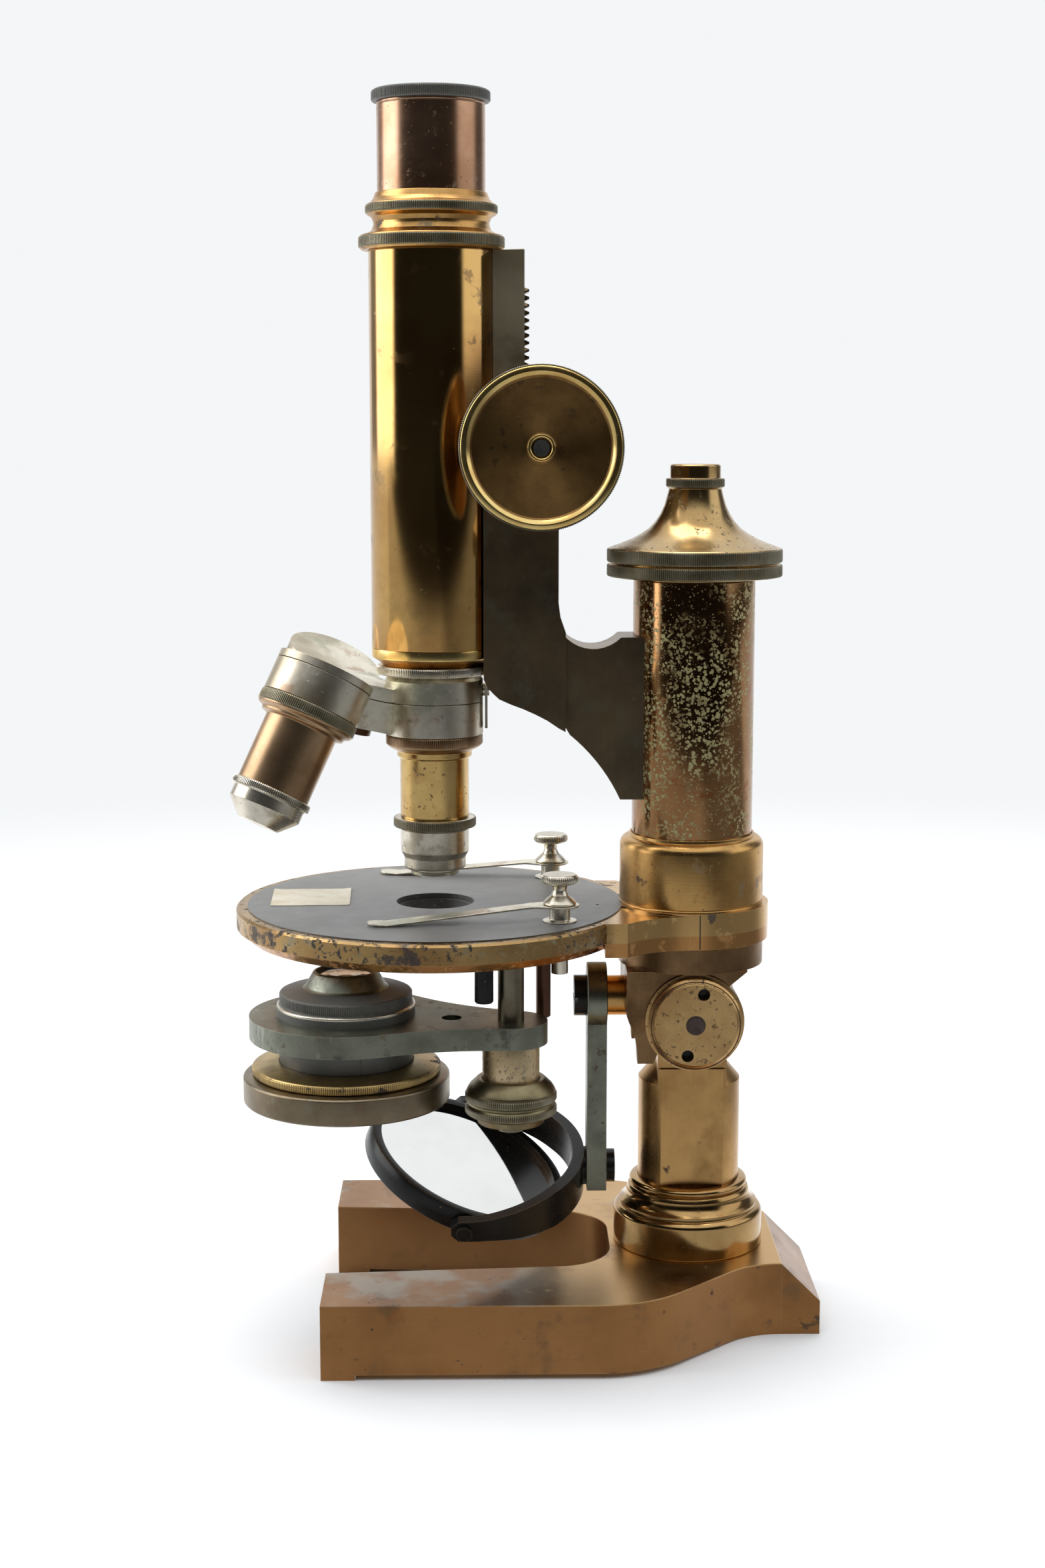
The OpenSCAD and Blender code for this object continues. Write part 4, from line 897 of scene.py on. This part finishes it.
def world():
    """White sweep behind, a bright box on the left, a small one high on the right, soft
    light overhead, and darkness on the camera side."""
    w = bpy.data.worlds.new("studio")
    bpy.context.scene.world = w
    w.use_nodes = True
    t = w.node_tree
    t.nodes.clear()
    g = Graph.__new__(Graph)
    g.tree = t
    direction = g.add("ShaderNodeTexCoord").outputs["Generated"]
    x, y, z = g.xyz(direction)
    around = g.math("MULTIPLY", g.math("ARCTAN2", x, g.math("MULTIPLY", y, -1.0)),
                    180 / math.pi)
    rise = g.math("MULTIPLY", g.math("ARCSINE", z), 180 / math.pi)

    def band(v, a, b, soft):
        inside = g.step(v, a - soft, a + soft)
        return g.math("SUBTRACT", inside, g.step(v, b - soft, b + soft))

    def box(a, b, low, high, power, soft=5.0, sill=3.0):
        area = g.math("MULTIPLY", band(around, a, b, soft), band(rise, low, high, sill))
        return g.math("MULTIPLY", area, power)

    away = g.math("ABSOLUTE", around)
    light = g.math("MULTIPLY", g.step(away, 134, 152), 0.95)
    for part in (box(-121, -74, -2.5, 55, 3.7), box(-150, -121, -8, 50, 0.30),
                 box(60, 108, 4.6, 46, 1.2, 5.0, 1.1), box(108, 140, -10, 50, 0.10),
                 g.math("MULTIPLY", g.step(z, 0.50, 0.75), 1.15)):
        light = g.math("MAXIMUM", light, part)
    light = g.math("ADD", light, 0.015)
    seen = g.add("ShaderNodeBackground")
    seen.inputs["Color"].default_value = (*PAPER, 1)
    studio = g.add("ShaderNodeBackground")
    studio.inputs["Color"].default_value = (0.98, 0.99, 1.0, 1)
    g.put(studio.inputs["Strength"], light)
    both = g.add("ShaderNodeMixShader")
    g.put(both.inputs[0], g.add("ShaderNodeLightPath").outputs["Is Camera Ray"])
    t.links.new(studio.outputs[0], both.inputs[1])
    t.links.new(seen.outputs[0], both.inputs[2])
    t.links.new(both.outputs[0], g.add("ShaderNodeOutputWorld").inputs["Surface"])


def area(name, where, target, size, power):
    data = bpy.data.lights.new(name, "AREA")
    data.shape = "RECTANGLE"
    data.size, data.size_y = size
    data.energy = power
    o = bpy.data.objects.new(name, data)
    bpy.context.scene.collection.objects.link(o)
    o.location = where
    o.rotation_euler = (Vector(target) - Vector(where)).to_track_quat("-Z", "Y").to_euler()
    o.visible_camera = False


floor()
world()
area("softbox_top", (-0.15, 0.25, 1.5), (-0.04, 0, 0.1), (1.0, 0.8), 11.5)

cam = bpy.data.objects.new("camera", bpy.data.cameras.new("camera"))
bpy.context.scene.collection.objects.link(cam)
cam.location = (-0.0549, -0.618, 0.2425)
cam.rotation_euler = (math.radians(81.0975), 0, math.radians(-0.9036))
cam.data.lens = 54.015
cam.data.sensor_width = 36
cam.data.clip_start, cam.data.clip_end = 0.01, 50
bpy.context.scene.camera = cam
view = bpy.context.scene.view_settings
view.view_transform = "Standard"
view.look = "None"
